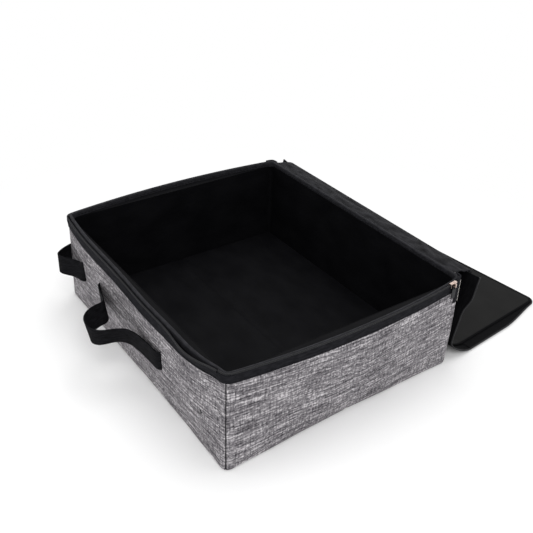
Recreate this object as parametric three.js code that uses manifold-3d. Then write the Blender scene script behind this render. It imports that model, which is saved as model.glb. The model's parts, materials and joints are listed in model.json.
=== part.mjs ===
// Foldable litter box: a soft-sided travel tray whose zipped lid hangs open behind it.
// Millimetres, +Z up. The origin is the centre of the underside. The carry handle is on the
// long wall that faces -Y, and the lid is sewn to the rim of the long wall that faces +Y.
import * as THREE from 'three';
import { mergeVertices } from 'three/addons/utils/BufferGeometryUtils.js';
import Module from 'manifold-3d';

const wasm = await Module();
wasm.setup();

// Tray
const trayLength = 400;
const trayDepth = 340;
const trayHeight = 130;
const cornerRadius = 10;
const cornerReach = 12;

// Layers of a wall, of the floor and of the lid
const linerThickness = 0.8;
const boardThickness = 3;
const coverThickness = 1.2;
const layerGap = 0.3;
const wallThickness = linerThickness + boardThickness + coverThickness + 2 * layerGap;

// Fold lines of the walls: the long walls lie over the short ones, and over the zip slider
const sliderRoom = 7;
const shortFoldHeight = 2 * wallThickness + layerGap;
const longFoldHeight = shortFoldHeight + wallThickness + layerGap + sliderRoom;
const foldSweep = wallThickness * Math.SQRT2;

// Boards
const boardDrop = 8;
const boardCorner = 6;
const boardInset = 1.5;
const creaseWidth = 4;
const creaseDepth = 0.9;

// How far the soft cover stands out from its board, at the middle of the rim
const frontBulge = 15;
const sideBulge = 11;
const bulgeRiseShare = 0.5;

// How far under the rim's top the cover, the zip tape's foot and its coil edge lie
const coverDrop = 13;
const tapeFootDrop = 16;
const tapeDrop = 4.7;

// Zip tape and zip coil
const tapeThickness = 1.2;
const coilRadius = 1.2;
const coilToothPitch = 5;
const coilWaistShare = 0.7;

// The front tape leans in over the rim, by this share of the bow; it stands up near the right corner
const tapeLeanShare = 0.7;
const leanEnd = 50;
const leanTaper = 100;

// Webbing
const webbingWidth = 26;
const webbingThickness = 1.6;
const slitPlay = 1;
const anchorLength = 24;
const handleSpan = 162;
const handleHeight = 62;
const handleStandOut = 42;
const handleDroop = 5;
const loopInset = 53;
const loopHeight = 63;
const loopStandOut = 14;
const loopReach = 4;
const loopWrap = 14;

// Snap
const snapInset = 43;
const snapHeight = 52;
const snapRadius = 5;
const snapDome = 2.2;

// Zip slider and its pull
const sliderLength = 11;
const sliderHeight = 6;
const sliderWall = 0.7;
const sliderInset = 20;
const bridgeOpening = 1.6;
const bridgeWall = 1.2;
const bridgeWidth = 2;
const bridgeHeight = 5;
const pullLength = 20;
const pullWidth = 7;
const pullThickness = 1;
const pullEye = 5.6;

// Lid: a soft strip at the rim, an upper panel, a soft crease and a lower panel
const lidInset = 7;
const lidStrip = 30;
const lidUpper = 97;
const lidCrease = 45;
const lidLower = trayDepth - lidStrip - lidUpper - lidCrease;
const lidCoverThickness = 1.2;
const lidBoardThickness = 2.4;
const lidLiningThickness = 0.8;
const lidStripThickness = 1.6;
const lidThickness = lidCoverThickness + lidBoardThickness + lidLiningThickness + 2 * layerGap;
const lidCornerRadius = 14;
const lidBindingWidth = 3.2;
const lidTapeWidth = 3;
const lidTapeThickness = 1;
const lidPanelMargin = lidBindingWidth + lidTapeWidth + 2 * layerGap;

// How the open lid lies: turns from level, then the lower panel's place on the floor
const stripDroopAngle = THREE.MathUtils.degToRad(13.6);
const upperLeanAngle = THREE.MathUtils.degToRad(13.5);
const lowerYawAngle = THREE.MathUtils.degToRad(5.8);
const lowerShift = 2.16;
const lowerStandOff = 22.5;

// Steps of curves
const bowSteps = 20;
const riseSteps = 6;
const arcSteps = 5;
const strapSteps = 44;
const anchorSteps = 14;
const coilSides = 6;
const snapSides = 20;

// Worked out from the sizes above
const halfLength = trayLength / 2;
const halfDepth = trayDepth / 2;
const linerFace = -wallThickness;
const boardFace = linerFace + linerThickness + layerGap;
const floorTop = coverThickness + boardThickness + linerThickness + 2 * layerGap;
const boardTop = trayHeight - boardDrop;
const coverTop = trayHeight - coverDrop;
const tapeFoot = trayHeight - tapeFootDrop;
const tapeTop = trayHeight - tapeDrop;
const coilCentre = layerGap + tapeThickness / 2;
const coilHeight = tapeTop + layerGap + coilRadius;
const loopStart = loopInset - halfLength;
const snapPlace = halfLength - snapInset;
const sliderPark = halfDepth - sliderInset;
const lidWidth = trayLength - 2 * lidInset;

// Colours
const greyFabric = { color: 0x77757a, roughness: 0.95 };
const blackTape = { color: 0x16161a, roughness: 0.8 };
const blackLiner = { color: 0x121215, roughness: 0.45 };
const lidLiner = { color: 0x272729, roughness: 0.5 };
const board = { color: 0x1c1c1f, roughness: 0.6 };
const webbing = { color: 0x101013, roughness: 0.85 };
const darkMetal = { color: 0x2b2b2e, roughness: 0.35, metalness: 0.8 };
const palePlate = { color: 0xc9b9ae, roughness: 0.3, metalness: 1 };

// A closed solid from its corners and triangles, turned so that its faces point out
function closedSolid(corners, triangles) {
  let sixVolumes = 0;
  const [a, b, c] = [new THREE.Vector3(), new THREE.Vector3(), new THREE.Vector3()];
  for (const [i, j, k] of triangles) {
    b.fromArray(corners[j]).cross(c.fromArray(corners[k]));
    sixVolumes += a.fromArray(corners[i]).dot(b);
  }
  const faces = sixVolumes < 0 ? triangles.map(([i, j, k]) => [i, k, j]) : triangles;
  const geometry = new THREE.BufferGeometry();
  geometry.setAttribute('position', new THREE.Float32BufferAttribute(corners.flat(), 3));
  geometry.setIndex(faces.flat());
  return geometry;
}

// A section of [across, up] points carried along stations of { x, y, z, out: [x, y] }
function sweep(stations, section, size = () => 1, centre = [0, 0]) {
  const corners = stations.flatMap((s, n) => section.map(([across, up]) => {
    const wide = centre[0] + (across - centre[0]) * size(n);
    return [s.x + s.out[0] * wide, s.y + s.out[1] * wide, s.z + centre[1] + (up - centre[1]) * size(n)];
  }));
  const count = section.length;
  const triangles = [];
  for (let n = 0; n + 1 < stations.length; n += 1) {
    for (let i = 0; i < count; i += 1) {
      const next = (i + 1) % count;
      const [p, q] = [n * count + i, n * count + next];
      triangles.push([p, q, q + count], [p, q + count, p + count]);
    }
  }
  const outline = section.map(([across, up]) => new THREE.Vector2(across, up));
  const last = (stations.length - 1) * count;
  for (const [i, j, k] of THREE.ShapeUtils.triangulateShape(outline, [])) {
    triangles.push([i, k, j], [last + i, last + j, last + k]);
  }
  return closedSolid(corners, triangles);
}

// A sheet between two faces, each given by a function of two shares from 0 to 1
function sheet(columns, rows, front, back) {
  const corners = [];
  for (const face of [front, back]) {
    for (let r = 0; r <= rows; r += 1) {
      for (let c = 0; c <= columns; c += 1) corners.push(face(c / columns, r / rows));
    }
  }
  const wide = columns + 1;
  const other = wide * (rows + 1);
  const triangles = [];
  for (let r = 0; r < rows; r += 1) {
    for (let c = 0; c < columns; c += 1) {
      const p = r * wide + c;
      triangles.push([p, p + 1, p + wide + 1], [p, p + wide + 1, p + wide]);
      triangles.push([other + p, other + p + wide + 1, other + p + 1]);
      triangles.push([other + p, other + p + wide, other + p + wide + 1]);
    }
  }
  const rim = [];
  for (let c = 0; c < columns; c += 1) rim.push(c);
  for (let r = 0; r < rows; r += 1) rim.push(r * wide + columns);
  for (let c = columns; c > 0; c -= 1) rim.push(rows * wide + c);
  for (let r = rows; r > 0; r -= 1) rim.push(r * wide);
  rim.forEach((p, n) => {
    const q = rim[(n + 1) % rim.length];
    triangles.push([p, other + p, other + q], [p, other + q, q]);
  });
  return closedSolid(corners, triangles);
}

function box(low, high) {
  const size = high.map((value, n) => value - low[n]);
  const geometry = new THREE.BoxGeometry(...size);
  return geometry.translate(...low.map((value, n) => value + size[n] / 2));
}

function roundedOutline(width, height, radius) {
  const [x, y] = [width / 2, height / 2];
  const outline = new THREE.Shape();
  outline.moveTo(-x + radius, -y);
  outline.lineTo(x - radius, -y);
  outline.absarc(x - radius, -y + radius, radius, -Math.PI / 2, 0);
  outline.lineTo(x, y - radius);
  outline.absarc(x - radius, y - radius, radius, 0, Math.PI / 2);
  outline.lineTo(-x + radius, y);
  outline.absarc(-x + radius, y - radius, radius, Math.PI / 2, Math.PI);
  outline.lineTo(-x, -y + radius);
  outline.absarc(-x + radius, -y + radius, radius, Math.PI, 1.5 * Math.PI);
  return outline;
}

function plate(outline, low, high) {
  const options = { depth: high - low, bevelEnabled: false, curveSegments: arcSteps };
  return new THREE.ExtrudeGeometry(outline, options).translate(0, 0, low);
}

function toManifold(geometry) {
  const bare = geometry.clone();
  bare.deleteAttribute('normal');
  bare.deleteAttribute('uv');
  const merged = mergeVertices(bare, layerGap / 1000);
  return new wasm.Manifold(new wasm.Mesh({
    numProp: 3,
    vertProperties: new Float32Array(merged.attributes.position.array),
    triVerts: new Uint32Array(merged.index.array),
  }));
}

function fromManifold(solid) {
  const { vertProperties, triVerts } = solid.getMesh();
  const geometry = new THREE.BufferGeometry();
  geometry.setAttribute('position', new THREE.BufferAttribute(vertProperties, 3));
  geometry.setIndex(new THREE.BufferAttribute(triVerts, 1));
  return geometry;
}

function join(...geometries) {
  return fromManifold(geometries.map(toManifold).reduce((whole, more) => whole.add(more)));
}

function cut(geometry, ...tools) {
  const whole = toManifold(geometry);
  return fromManifold(tools.map(toManifold).reduce((left, tool) => left.subtract(tool), whole));
}

function piece(parent, name, look, geometry) {
  const mesh = new THREE.Mesh(geometry, new THREE.MeshStandardMaterial(look));
  mesh.name = name;
  parent.add(mesh);
  return mesh;
}

const litterBox = new THREE.Group();

// Base: the bottom cover turns up all round, higher along the long walls, up to their fold line
function addBase() {
  const foot = roundedOutline(trayLength, trayDepth, cornerRadius);
  const inside = roundedOutline(
    trayLength - 2 * coverThickness,
    trayDepth - 2 * coverThickness,
    cornerRadius - coverThickness,
  );
  const lipTop = shortFoldHeight - foldSweep - layerGap;
  const skirtTop = longFoldHeight - foldSweep - layerGap;
  const lip = roundedOutline(trayLength, trayDepth, cornerRadius);
  lip.holes.push(inside);
  const skirtEnd = halfLength - cornerReach;
  const skirts = [-1, 1].map((side) => box(
    [-skirtEnd, side < 0 ? -halfDepth : halfDepth - coverThickness, 0],
    [skirtEnd, side < 0 ? coverThickness - halfDepth : halfDepth, skirtTop],
  ));
  const sheets = [plate(foot, 0, coverThickness), plate(lip, 0, lipTop)];
  piece(litterBox, 'base_cover', greyFabric, join(...sheets, ...skirts));

  const boardLow = coverThickness + layerGap;
  const boardLength = trayLength - 2 * (wallThickness + boardInset);
  const boardDepth = halfDepth - wallThickness - boardInset - creaseWidth / 2;
  for (const [name, side] of [['base_board_front', -1], ['base_board_rear', 1]]) {
    const outline = roundedOutline(boardLength, boardDepth, boardCorner);
    const leaf = plate(outline, boardLow, boardLow + boardThickness);
    piece(litterBox, name, board, leaf.translate(0, side * (creaseWidth + boardDepth) / 2, 0));
  }

  const linerLow = boardLow + boardThickness + layerGap;
  const linerEnd = halfLength - wallThickness - layerGap;
  const linerSide = halfDepth - wallThickness - layerGap;
  const floor = box([-linerEnd, -linerSide, linerLow], [linerEnd, linerSide, floorTop]);
  const cove = longFoldHeight - wallThickness - layerGap;
  const upturns = [-1, 1].map((side) => box(
    [-skirtEnd, side < 0 ? -linerSide : linerSide - linerThickness, linerLow],
    [skirtEnd, side < 0 ? linerThickness - linerSide : linerSide, cove],
  ));
  piece(litterBox, 'floor_liner', blackLiner, join(floor, ...upturns));
}

// The cover's bow: an arc along the wall that grows from the fold line up to the rim
function bowRadius(bulge, halfRun) {
  return bulge ? (halfRun ** 2 + bulge ** 2) / (2 * bulge) : Infinity;
}

function bow(wall, along) {
  if (!wall.bulge) return 0;
  const radius = bowRadius(wall.bulge, wall.halfRun);
  return Math.sqrt(radius ** 2 - along ** 2) - (radius - wall.bulge);
}

function rise(wall, up) {
  return Math.min(1, Math.max(0, (up - wall.coverFoot) / (tapeFoot - wall.coverFoot))) ** bulgeRiseShare;
}

function coverFace(wall, along, up) {
  const dent = wall.creased ? creaseDepth * Math.exp(-((along / creaseWidth) ** 2)) : 0;
  return bow(wall, along) * rise(wall, up) - dent;
}

// How far out the zip tape lies at a share of its height
function tapeOut(wall, along, share) {
  if (!wall.leans) return bow(wall, along);
  const taper = THREE.MathUtils.smoothstep(halfLength - leanEnd - along, 0, leanTaper);
  return bow(wall, along) * (1 - tapeLeanShare * taper * share);
}

// Stations along the rim; in a wall's own frame +X runs along it and -Y is outward
function rimStations(wall, steps) {
  return Array.from({ length: steps + 1 }, (_, n) => {
    const along = wall.halfRun * (2 * n / steps - 1);
    const slope = wall.bulge ? Math.asin(along / bowRadius(wall.bulge, wall.halfRun)) : 0;
    return { x: along, y: -tapeOut(wall, along, 1), z: 0, out: [Math.sin(slope), -Math.cos(slope)] };
  });
}

// The zip tape stands on the outside of the cover, and leans only above the cover's edge
const tapeRows = [[tapeFoot, 0], [coverTop + layerGap, 0], [tapeTop, 1]];

function tapeFace(wall, depth) {
  return (c, r) => {
    const along = wall.halfRun * (2 * c - 1);
    const [up, share] = tapeRows[Math.round(r * (tapeRows.length - 1))];
    return [along, -tapeOut(wall, along, share) - depth, up];
  };
}

function straightStations(from, to) {
  return [from, to].map((x) => ({ x, y: 0, z: 0, out: [0, -1] }));
}

function bindingSection() {
  const [inner, outer] = [linerFace, -coverThickness - layerGap];
  const radius = (outer - inner) / 2;
  const foot = boardTop + layerGap;
  const points = [[inner, foot], [outer, foot]];
  for (let n = 0; n <= arcSteps; n += 1) {
    const turn = Math.PI * n / arcSteps;
    const across = (inner + outer) / 2 + radius * Math.cos(turn);
    points.push([across, trayHeight - radius + radius * Math.sin(turn)]);
  }
  return points;
}

function coilSection() {
  return Array.from({ length: coilSides }, (_, n) => {
    const turn = Math.PI * (2 * n + 1) / coilSides;
    return [coilCentre + coilRadius * Math.cos(turn), coilHeight + coilRadius * Math.sin(turn)];
  });
}

// A wall's own frame stands at the middle of its outer foot
function addWall(name, turn, { side, reach, foldHeight, bulge, creased, slit, leans }) {
  const group = new THREE.Group();
  group.rotation.z = turn;
  group.position.set(reach * Math.sin(turn), -reach * Math.cos(turn), 0);
  litterBox.add(group);

  const halfRun = side / 2 - cornerReach;
  const wall = { group, halfRun, bulge, creased, leans, coverFoot: foldHeight - foldSweep };
  const innerFoot = foldHeight - wallThickness;

  const top = bulge ? coverTop : trayHeight - coverThickness;
  const face = (depth) => (c, r) => {
    const [along, up] = [halfRun * (2 * c - 1), wall.coverFoot + (top - wall.coverFoot) * r];
    return [along, depth - coverFace(wall, along, up), up];
  };
  const [columns, rows] = bulge ? [2 * bowSteps, riseSteps] : [1, 1];
  const cover = sheet(columns, rows, face(0), face(coverThickness));
  piece(group, `${name}_wall_cover`, greyFabric, slit ? slitCover(wall, cover) : cover);

  const boardHeight = boardTop - innerFoot;
  const middle = innerFoot + boardHeight / 2;
  const leaf = (width, centre) => {
    const outline = roundedOutline(width, boardHeight, boardCorner);
    const flat = plate(outline, boardFace, boardFace + boardThickness);
    return flat.rotateX(Math.PI / 2).translate(centre, 0, middle);
  };
  const boardRun = halfRun - boardInset;
  if (creased) {
    const width = boardRun - creaseWidth / 2;
    const toFront = turn > 0 ? -1 : 1;
    const offset = (creaseWidth + width) / 2;
    piece(group, `${name}_wall_board_front`, board, leaf(width, toFront * offset));
    piece(group, `${name}_wall_board_rear`, board, leaf(width, -toFront * offset));
  } else {
    piece(group, `${name}_wall_board`, board, leaf(2 * boardRun, 0));
  }

  const liner = box([-halfRun, -linerFace - linerThickness, innerFoot], [halfRun, -linerFace, boardTop]);
  piece(group, `${name}_wall_liner`, blackLiner, liner);
  const binding = sweep(straightStations(-halfRun, halfRun), bindingSection());
  piece(group, `${name}_rim_binding`, blackTape, binding);

  if (bulge) {
    const tapeFaces = [layerGap, layerGap + tapeThickness].map((depth) => tapeFace(wall, depth));
    const tape = sheet(bowSteps, tapeRows.length - 1, ...tapeFaces);
    piece(group, `${name}_zip_tape`, blackTape, tape);
    const teeth = 2 * Math.round(2 * halfRun / coilToothPitch);
    const coil = sweep(
      rimStations(wall, teeth),
      coilSection(),
      (n) => (n % 2 ? coilWaistShare : 1),
      [coilCentre, coilHeight],
    );
    piece(group, `${name}_zip_coil`, blackTape, coil);
  }
  return wall;
}

// Corners: soft covers and linings that turn from one wall to the next
function cornerStations(sideX, sideY) {
  const from = cornerReach - layerGap;
  const centre = [halfLength - cornerRadius, halfDepth - cornerRadius];
  const stations = [[halfLength - from, halfDepth, 0, 1]];
  for (let n = 0; n <= arcSteps; n += 1) {
    const turn = Math.PI / 2 * (1 - n / arcSteps);
    const [x, y] = [Math.cos(turn), Math.sin(turn)];
    stations.push([centre[0] + cornerRadius * x, centre[1] + cornerRadius * y, x, y]);
  }
  stations.push([halfLength, halfDepth - from, 1, 0]);
  return stations.map(([x, y, outX, outY]) => ({
    x: sideX * x, y: sideY * y, z: 0, out: [sideX * outX, sideY * outY],
  }));
}

function addCorners() {
  const foot = shortFoldHeight - foldSweep;
  const coverSection = (top) => [[-coverThickness, foot], [0, foot], [0, top], [-coverThickness, top]];
  const liningFoot = floorTop + layerGap;
  const linerOuter = linerFace + linerThickness;
  const liningSection = [
    [linerFace, liningFoot],
    [linerOuter, liningFoot],
    [linerOuter, boardTop + layerGap],
    ...bindingSection().slice(1),
  ];
  const neck = tapeThickness / 2;
  const zipSection = [
    [coilCentre - neck, tapeFoot],
    [coilCentre + neck, tapeFoot],
    [coilCentre + neck, coilHeight - coilRadius / 2],
    ...coilSection().slice(0, 3),
    [coilCentre - neck, coilHeight - coilRadius / 2],
  ];
  for (const [end, sideY] of [['front', -1], ['rear', 1]]) {
    for (const [side, sideX] of [['left', -1], ['right', 1]]) {
      const stations = cornerStations(sideX, sideY);
      const top = end === 'front' ? coverTop : trayHeight - coverThickness;
      piece(litterBox, `corner_cover_${end}_${side}`, greyFabric, sweep(stations, coverSection(top)));
      piece(litterBox, `corner_lining_${end}_${side}`, blackLiner, sweep(stations, liningSection));
      if (end === 'front') {
        piece(litterBox, `corner_zip_${end}_${side}`, blackTape, sweep(stations, zipSection));
      }
    }
  }
}

// Straps are webbing on edge, so a strap is its plan curve carried at the webbing's width
const webbingSection = [
  [-webbingThickness / 2, -webbingWidth / 2],
  [webbingThickness / 2, -webbingWidth / 2],
  [webbingThickness / 2, webbingWidth / 2],
  [-webbingThickness / 2, webbingWidth / 2],
];

function strap(points, steps) {
  const curve = new THREE.CatmullRomCurve3(points, false, 'centripetal');
  const stations = curve.getSpacedPoints(steps).map((p, n) => {
    const along = curve.getTangentAt(n / steps);
    const size = Math.hypot(along.x, along.y);
    return { x: p.x, y: p.y, z: p.z, out: [along.y / size, -along.x / size] };
  });
  return sweep(stations, webbingSection);
}

// Shares of half the handle's span along the wall, of its stand-out and of its droop
const handleShares = [
  [-1, 0, 0], [-0.8, 0.03, 0.2], [-0.62, 0.1, 0.5], [-0.56, 0.28, 0.8], [-0.68, 0.5, 0.9], [-0.84, 0.7, 1],
  [-0.8, 0.9, 1], [-0.53, 1, 1], [-0.24, 0.96, 1], [-0.08, 0.68, 1], [0.02, 0.32, 0.9], [0.22, 0.1, 0.7],
  [0.5, 0.03, 0.5], [0.76, 0.01, 0.3], [1, 0, 0.2],
];

// Shares of the corner loop's run along the wall and of its stand-out
const loopShares = [[0, 0], [0.03, 0.3], [0.15, 0.6], [0.35, 0.75], [0.58, 0.87], [0.8, 1], [0.95, 0.9]];

function slitCover(wall, cover) {
  const low = webbingWidth / 2 + slitPlay;
  const wide = webbingThickness / 2 + slitPlay;
  const depth = wall.bulge + wallThickness;
  const slits = [
    [-handleSpan / 2, handleHeight],
    [handleSpan / 2, handleHeight],
    [loopStart, loopHeight],
  ].map(([x, z]) => box([x - wide, -depth, z - low], [x + wide, depth, z + low]));
  return cut(cover, ...slits);
}

// The sewn end of a strap: it comes through its slit and lies flat behind the cover
function anchor(wall, place, height, away) {
  const outside = -coverFace(wall, place, height + webbingWidth / 2) - layerGap;
  const inside = coverThickness + layerGap - webbingThickness;
  const bend = webbingThickness;
  const points = [
    [place, outside],
    [place, outside + webbingThickness],
    [place, inside - bend],
    [place + away * bend / 3, inside - bend / 3],
    [place + away * bend, inside],
    [place + away * anchorLength, inside],
  ].map(([x, y]) => new THREE.Vector3(x, y - layerGap, height));
  return strap(points, anchorSteps);
}

function addStraps(wall) {
  const clear = (along, height) => coverFace(wall, along, height + webbingWidth / 2)
    + webbingThickness / 2 + 3 * layerGap;
  const halfSpan = (handleSpan - webbingThickness) / 2 - layerGap;
  const handlePoints = handleShares.map(([along, out, down]) => new THREE.Vector3(
    along * halfSpan,
    -clear(along * halfSpan, handleHeight) - out * handleStandOut,
    handleHeight - down * handleDroop,
  ));
  piece(wall.group, 'carry_handle', webbing, strap(handlePoints, strapSteps));
  piece(wall.group, 'handle_anchor_left', webbing, anchor(wall, -handleSpan / 2, handleHeight, -1));
  piece(wall.group, 'handle_anchor_right', webbing, anchor(wall, handleSpan / 2, handleHeight, 1));

  const start = loopStart - webbingThickness / 2 - layerGap;
  const seat = halfLength + webbingThickness / 2 + 2 * layerGap;
  const run = -seat - loopReach - start;
  const loopPoints = loopShares.map(([along, out]) => new THREE.Vector3(
    start + along * run,
    -clear(loopStart, loopHeight) - out * loopStandOut,
    loopHeight,
  ));
  loopPoints.push(new THREE.Vector3(-seat - loopReach, -webbingThickness, loopHeight));
  loopPoints.push(new THREE.Vector3(-seat, loopWrap, loopHeight));
  piece(wall.group, 'corner_loop', webbing, strap(loopPoints, strapSteps / 2));
  piece(wall.group, 'corner_loop_anchor', webbing, anchor(wall, loopStart, loopHeight, 1));
}

// Shares of the snap's radius and of its dome: a rolled rim round a dished middle
const snapShares = [[0, 0], [1, 0], [1, 0.35], [0.8, 0.75], [0.5, 1], [0.3, 0.8], [0, 0.8]];

function addSnap(wall) {
  const face = coverFace(wall, snapPlace, snapHeight) + layerGap + coverThickness / 2;
  const profile = snapShares.map(([across, out]) => new THREE.Vector2(across * snapRadius, out * snapDome));
  const cap = new THREE.LatheGeometry(profile, snapSides).rotateX(Math.PI);
  piece(wall.group, 'snap_cap', darkMetal, cap.translate(snapPlace, -face, snapHeight));
}

// The slider straddles the coil; it is drawn at the middle of the rim and turned along the bow
function addSlider(wall) {
  const radius = bowRadius(wall.bulge, wall.halfRun);
  const track = new THREE.Group();
  track.position.y = radius - wall.bulge;
  track.rotation.z = Math.asin(sliderPark / radius);
  wall.group.add(track);

  const inner = coilRadius + layerGap;
  const outer = inner + sliderWall;
  const top = coilHeight + inner + sliderWall;
  const foot = top - sliderHeight;
  const slot = tapeThickness / 2 + layerGap;
  const shoulder = coilHeight - inner;
  const outline = new THREE.Shape([
    [-outer, foot], [-slot, foot], [-slot, shoulder], [-inner, shoulder], [-inner, coilHeight + inner],
    [inner, coilHeight + inner], [inner, shoulder], [slot, shoulder], [slot, foot], [outer, foot],
    [outer, top - sliderWall], [outer - sliderWall, top], [sliderWall - outer, top],
    [-outer, top - sliderWall],
  ].map(([across, up]) => new THREE.Vector2(across, up)));
  const options = { depth: sliderLength, bevelEnabled: false };
  const body = new THREE.ExtrudeGeometry(outline, options)
    .translate(0, 0, -sliderLength / 2)
    .rotateY(Math.PI / 2)
    .rotateX(Math.PI / 2);
  const bridgeFoot = top - bridgeHeight;
  const face = -outer;
  const bridge = cut(
    box(
      [-bridgeWidth / 2, face - bridgeOpening - bridgeWall, bridgeFoot],
      [bridgeWidth / 2, face + sliderWall / 2, top],
    ),
    box(
      [-bridgeWidth, face - bridgeOpening, bridgeFoot + bridgeWall],
      [bridgeWidth, face, top - bridgeWall / 2],
    ),
  );
  const place = [0, -radius - coilCentre, 0];
  piece(track, 'zip_slider', palePlate, join(body, bridge).translate(...place));

  const eyeTop = top - bridgeWall / 2 - layerGap;
  const eye = pullWidth / 2 - pullThickness;
  const eyeHigh = eyeTop - pullThickness;
  const back = face - (bridgeOpening - pullThickness) / 2;
  const tab = cut(
    box([-pullWidth / 2, back - pullThickness, eyeTop - pullLength], [pullWidth / 2, back, eyeTop]),
    box([-eye, back - 2 * pullThickness, eyeHigh - pullEye], [eye, back + pullThickness, eyeHigh]),
  );
  piece(track, 'zip_pull', darkMetal, tab.translate(...place));
}

// Lid links are drawn closed, running towards -Y from their fold line with the lining down
function lidLayers(parent, name, from, to, radius) {
  const half = lidWidth / 2 - lidPanelMargin;
  const outline = (inset) => {
    const edge = half - inset;
    const [near, far] = [-from - inset, -to + inset + (radius ? lidPanelMargin : 0)];
    const round = radius ? Math.max(radius - lidPanelMargin - inset, layerGap) : 0;
    const shape = new THREE.Shape();
    shape.moveTo(-edge, near);
    shape.lineTo(-edge, far + round);
    if (round) shape.absarc(-edge + round, far + round, round, Math.PI, 1.5 * Math.PI);
    shape.lineTo(edge - round, far);
    if (round) shape.absarc(edge - round, far + round, round, -Math.PI / 2, 0);
    shape.lineTo(edge, near);
    return shape;
  };
  const lining = [layerGap, layerGap + lidLiningThickness];
  const stiff = [lining[1] + layerGap, lining[1] + layerGap + lidBoardThickness];
  const cover = [stiff[1] + layerGap, stiff[1] + layerGap + lidCoverThickness];
  piece(parent, `lid_${name}_lining`, lidLiner, plate(outline(0), ...lining));
  piece(parent, `lid_${name}_board`, board, plate(outline(boardInset), ...stiff));
  piece(parent, `lid_${name}_cover`, greyFabric, plate(outline(0), ...cover));
}

// Edge stations for the lid's binding and zip, measured in from the lid's outline
function lidEdge(inset, from, to, rounded) {
  const edge = lidWidth / 2 - inset;
  const far = -to + inset;
  if (!rounded) {
    return [-from, -to].map((y) => ({ x: edge, y, z: 0, out: [1, 0] }));
  }
  const round = lidCornerRadius - inset;
  const stations = [{ x: -edge, y: -from, z: 0, out: [-1, 0] }];
  for (const [side, start] of [[-1, Math.PI], [1, 1.5 * Math.PI]]) {
    for (let n = 0; n <= arcSteps; n += 1) {
      const turn = start + Math.PI / 2 * n / arcSteps;
      const out = [Math.cos(turn), Math.sin(turn)];
      stations.push({
        x: side * (edge - round) + round * out[0],
        y: far + round + round * out[1],
        z: 0,
        out,
      });
    }
  }
  stations.push({ x: edge, y: -from, z: 0, out: [1, 0] });
  return stations;
}

function bindingBead() {
  const half = lidBindingWidth / 2;
  const middle = layerGap + lidThickness / 2;
  const tall = lidThickness / 2;
  return [
    [-half, middle - tall], [half / 2, middle - tall], [half, middle - tall / 2],
    [half, middle + tall / 2], [half / 2, middle + tall], [-half, middle + tall],
  ];
}

function lidZipSection() {
  const [low, high] = [layerGap + linerThickness, layerGap + linerThickness + lidTapeThickness];
  const half = lidTapeWidth / 2;
  const bead = coilRadius / 2;
  return [
    [-half, low], [half - bead, low], [half - bead, low - bead], [half, low - bead],
    [half, high + bead], [half - bead, high + bead], [half - bead, high], [-half, high],
  ];
}

function lidEdgePieces(parent, name, from, to, rounded) {
  const bindingInset = lidTapeWidth + layerGap + lidBindingWidth / 2;
  const binding = sweep(lidEdge(bindingInset, from, to, rounded), bindingBead());
  const zip = sweep(lidEdge(lidTapeWidth / 2, from, to, rounded), lidZipSection());
  if (rounded) {
    piece(parent, `lid_${name}_binding`, blackTape, binding);
    piece(parent, `lid_${name}_zip`, blackTape, zip);
    return;
  }
  for (const [side, turned] of [['right', false], ['left', true]]) {
    for (const [part, geometry] of [['binding', binding], ['zip', zip]]) {
      const other = geometry.clone();
      if (turned) other.rotateZ(Math.PI).translate(0, -from - to, 0);
      piece(parent, `lid_${name}_${part}_${side}`, blackTape, other);
    }
  }
}

function lidGroup(x, y, z, tilt, yaw) {
  const group = new THREE.Group();
  group.rotation.set(tilt, 0, yaw, 'ZXY');
  group.position.set(x, y, z);
  litterBox.add(group);
  group.updateMatrix();
  return group;
}

function addLid() {
  const fold = { y: halfDepth, z: trayHeight };
  const strip = lidGroup(0, fold.y, fold.z, -Math.PI - stripDroopAngle, 0);
  const half = lidWidth / 2 - lidPanelMargin;
  const seam = 3 * layerGap;
  const stripBody = box(
    [-half, layerGap - lidStrip, layerGap],
    [half, -seam, layerGap + lidStripThickness],
  );
  piece(strip, 'lid_hinge_strip', lidLiner, stripBody);

  fold.y += lidStrip * Math.cos(stripDroopAngle);
  fold.z -= lidStrip * Math.sin(stripDroopAngle);
  const upper = lidGroup(0, fold.y, fold.z, -1.5 * Math.PI - upperLeanAngle, 0);
  const upperStart = 2 * layerGap + lidStripThickness;
  lidLayers(upper, 'upper', upperStart, lidUpper, 0);
  lidEdgePieces(upper, 'upper', upperStart, lidUpper, false);

  const lower = lidGroup(
    -lowerShift,
    halfDepth + lowerStandOff,
    lidThickness + layerGap,
    Math.PI,
    lowerYawAngle,
  );
  lidLayers(lower, 'lower', 0, lidLower, lidCornerRadius);
  lidEdgePieces(lower, 'lower', 0, lidLower, true);
  addCrease(upper, lower, half);
}

// The soft crease hangs from the upper panel's foot and runs out to the lower panel
function addCrease(upper, lower, half) {
  const thickness = lidStripThickness;
  const height = layerGap + (lidThickness - thickness) / 2;
  const at = (group, x, y, z) => new THREE.Vector3(x, y, z).applyMatrix4(group.matrix);
  const line = (x, lift) => {
    const top = at(upper, x, -lidUpper - layerGap, height + lift);
    const hang = at(upper, x, -lidUpper - lidCrease / 3, height + lift);
    const run = at(lower, x, lidCrease / 4, height + lift);
    const end = at(lower, x, layerGap, height + lift);
    hang.z = Math.max(hang.z, end.z);
    hang.y = Math.max(hang.y, halfDepth + lidThickness - lift);
    run.y = Math.max(run.y, halfDepth + coverThickness);
    return new THREE.CubicBezierCurve3(top, hang, run, end);
  };
  const face = (lift) => (c, r) => line(half * (2 * c - 1), lift).getPoint(r).toArray();
  piece(litterBox, 'lid_crease_fabric', lidLiner, sheet(bowSteps, 2 * arcSteps, face(thickness), face(0)));
}

const longWall = { side: trayLength, reach: halfDepth, foldHeight: longFoldHeight };
const shortWall = {
  side: trayDepth, reach: halfLength, foldHeight: shortFoldHeight, bulge: sideBulge, creased: true,
};

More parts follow.
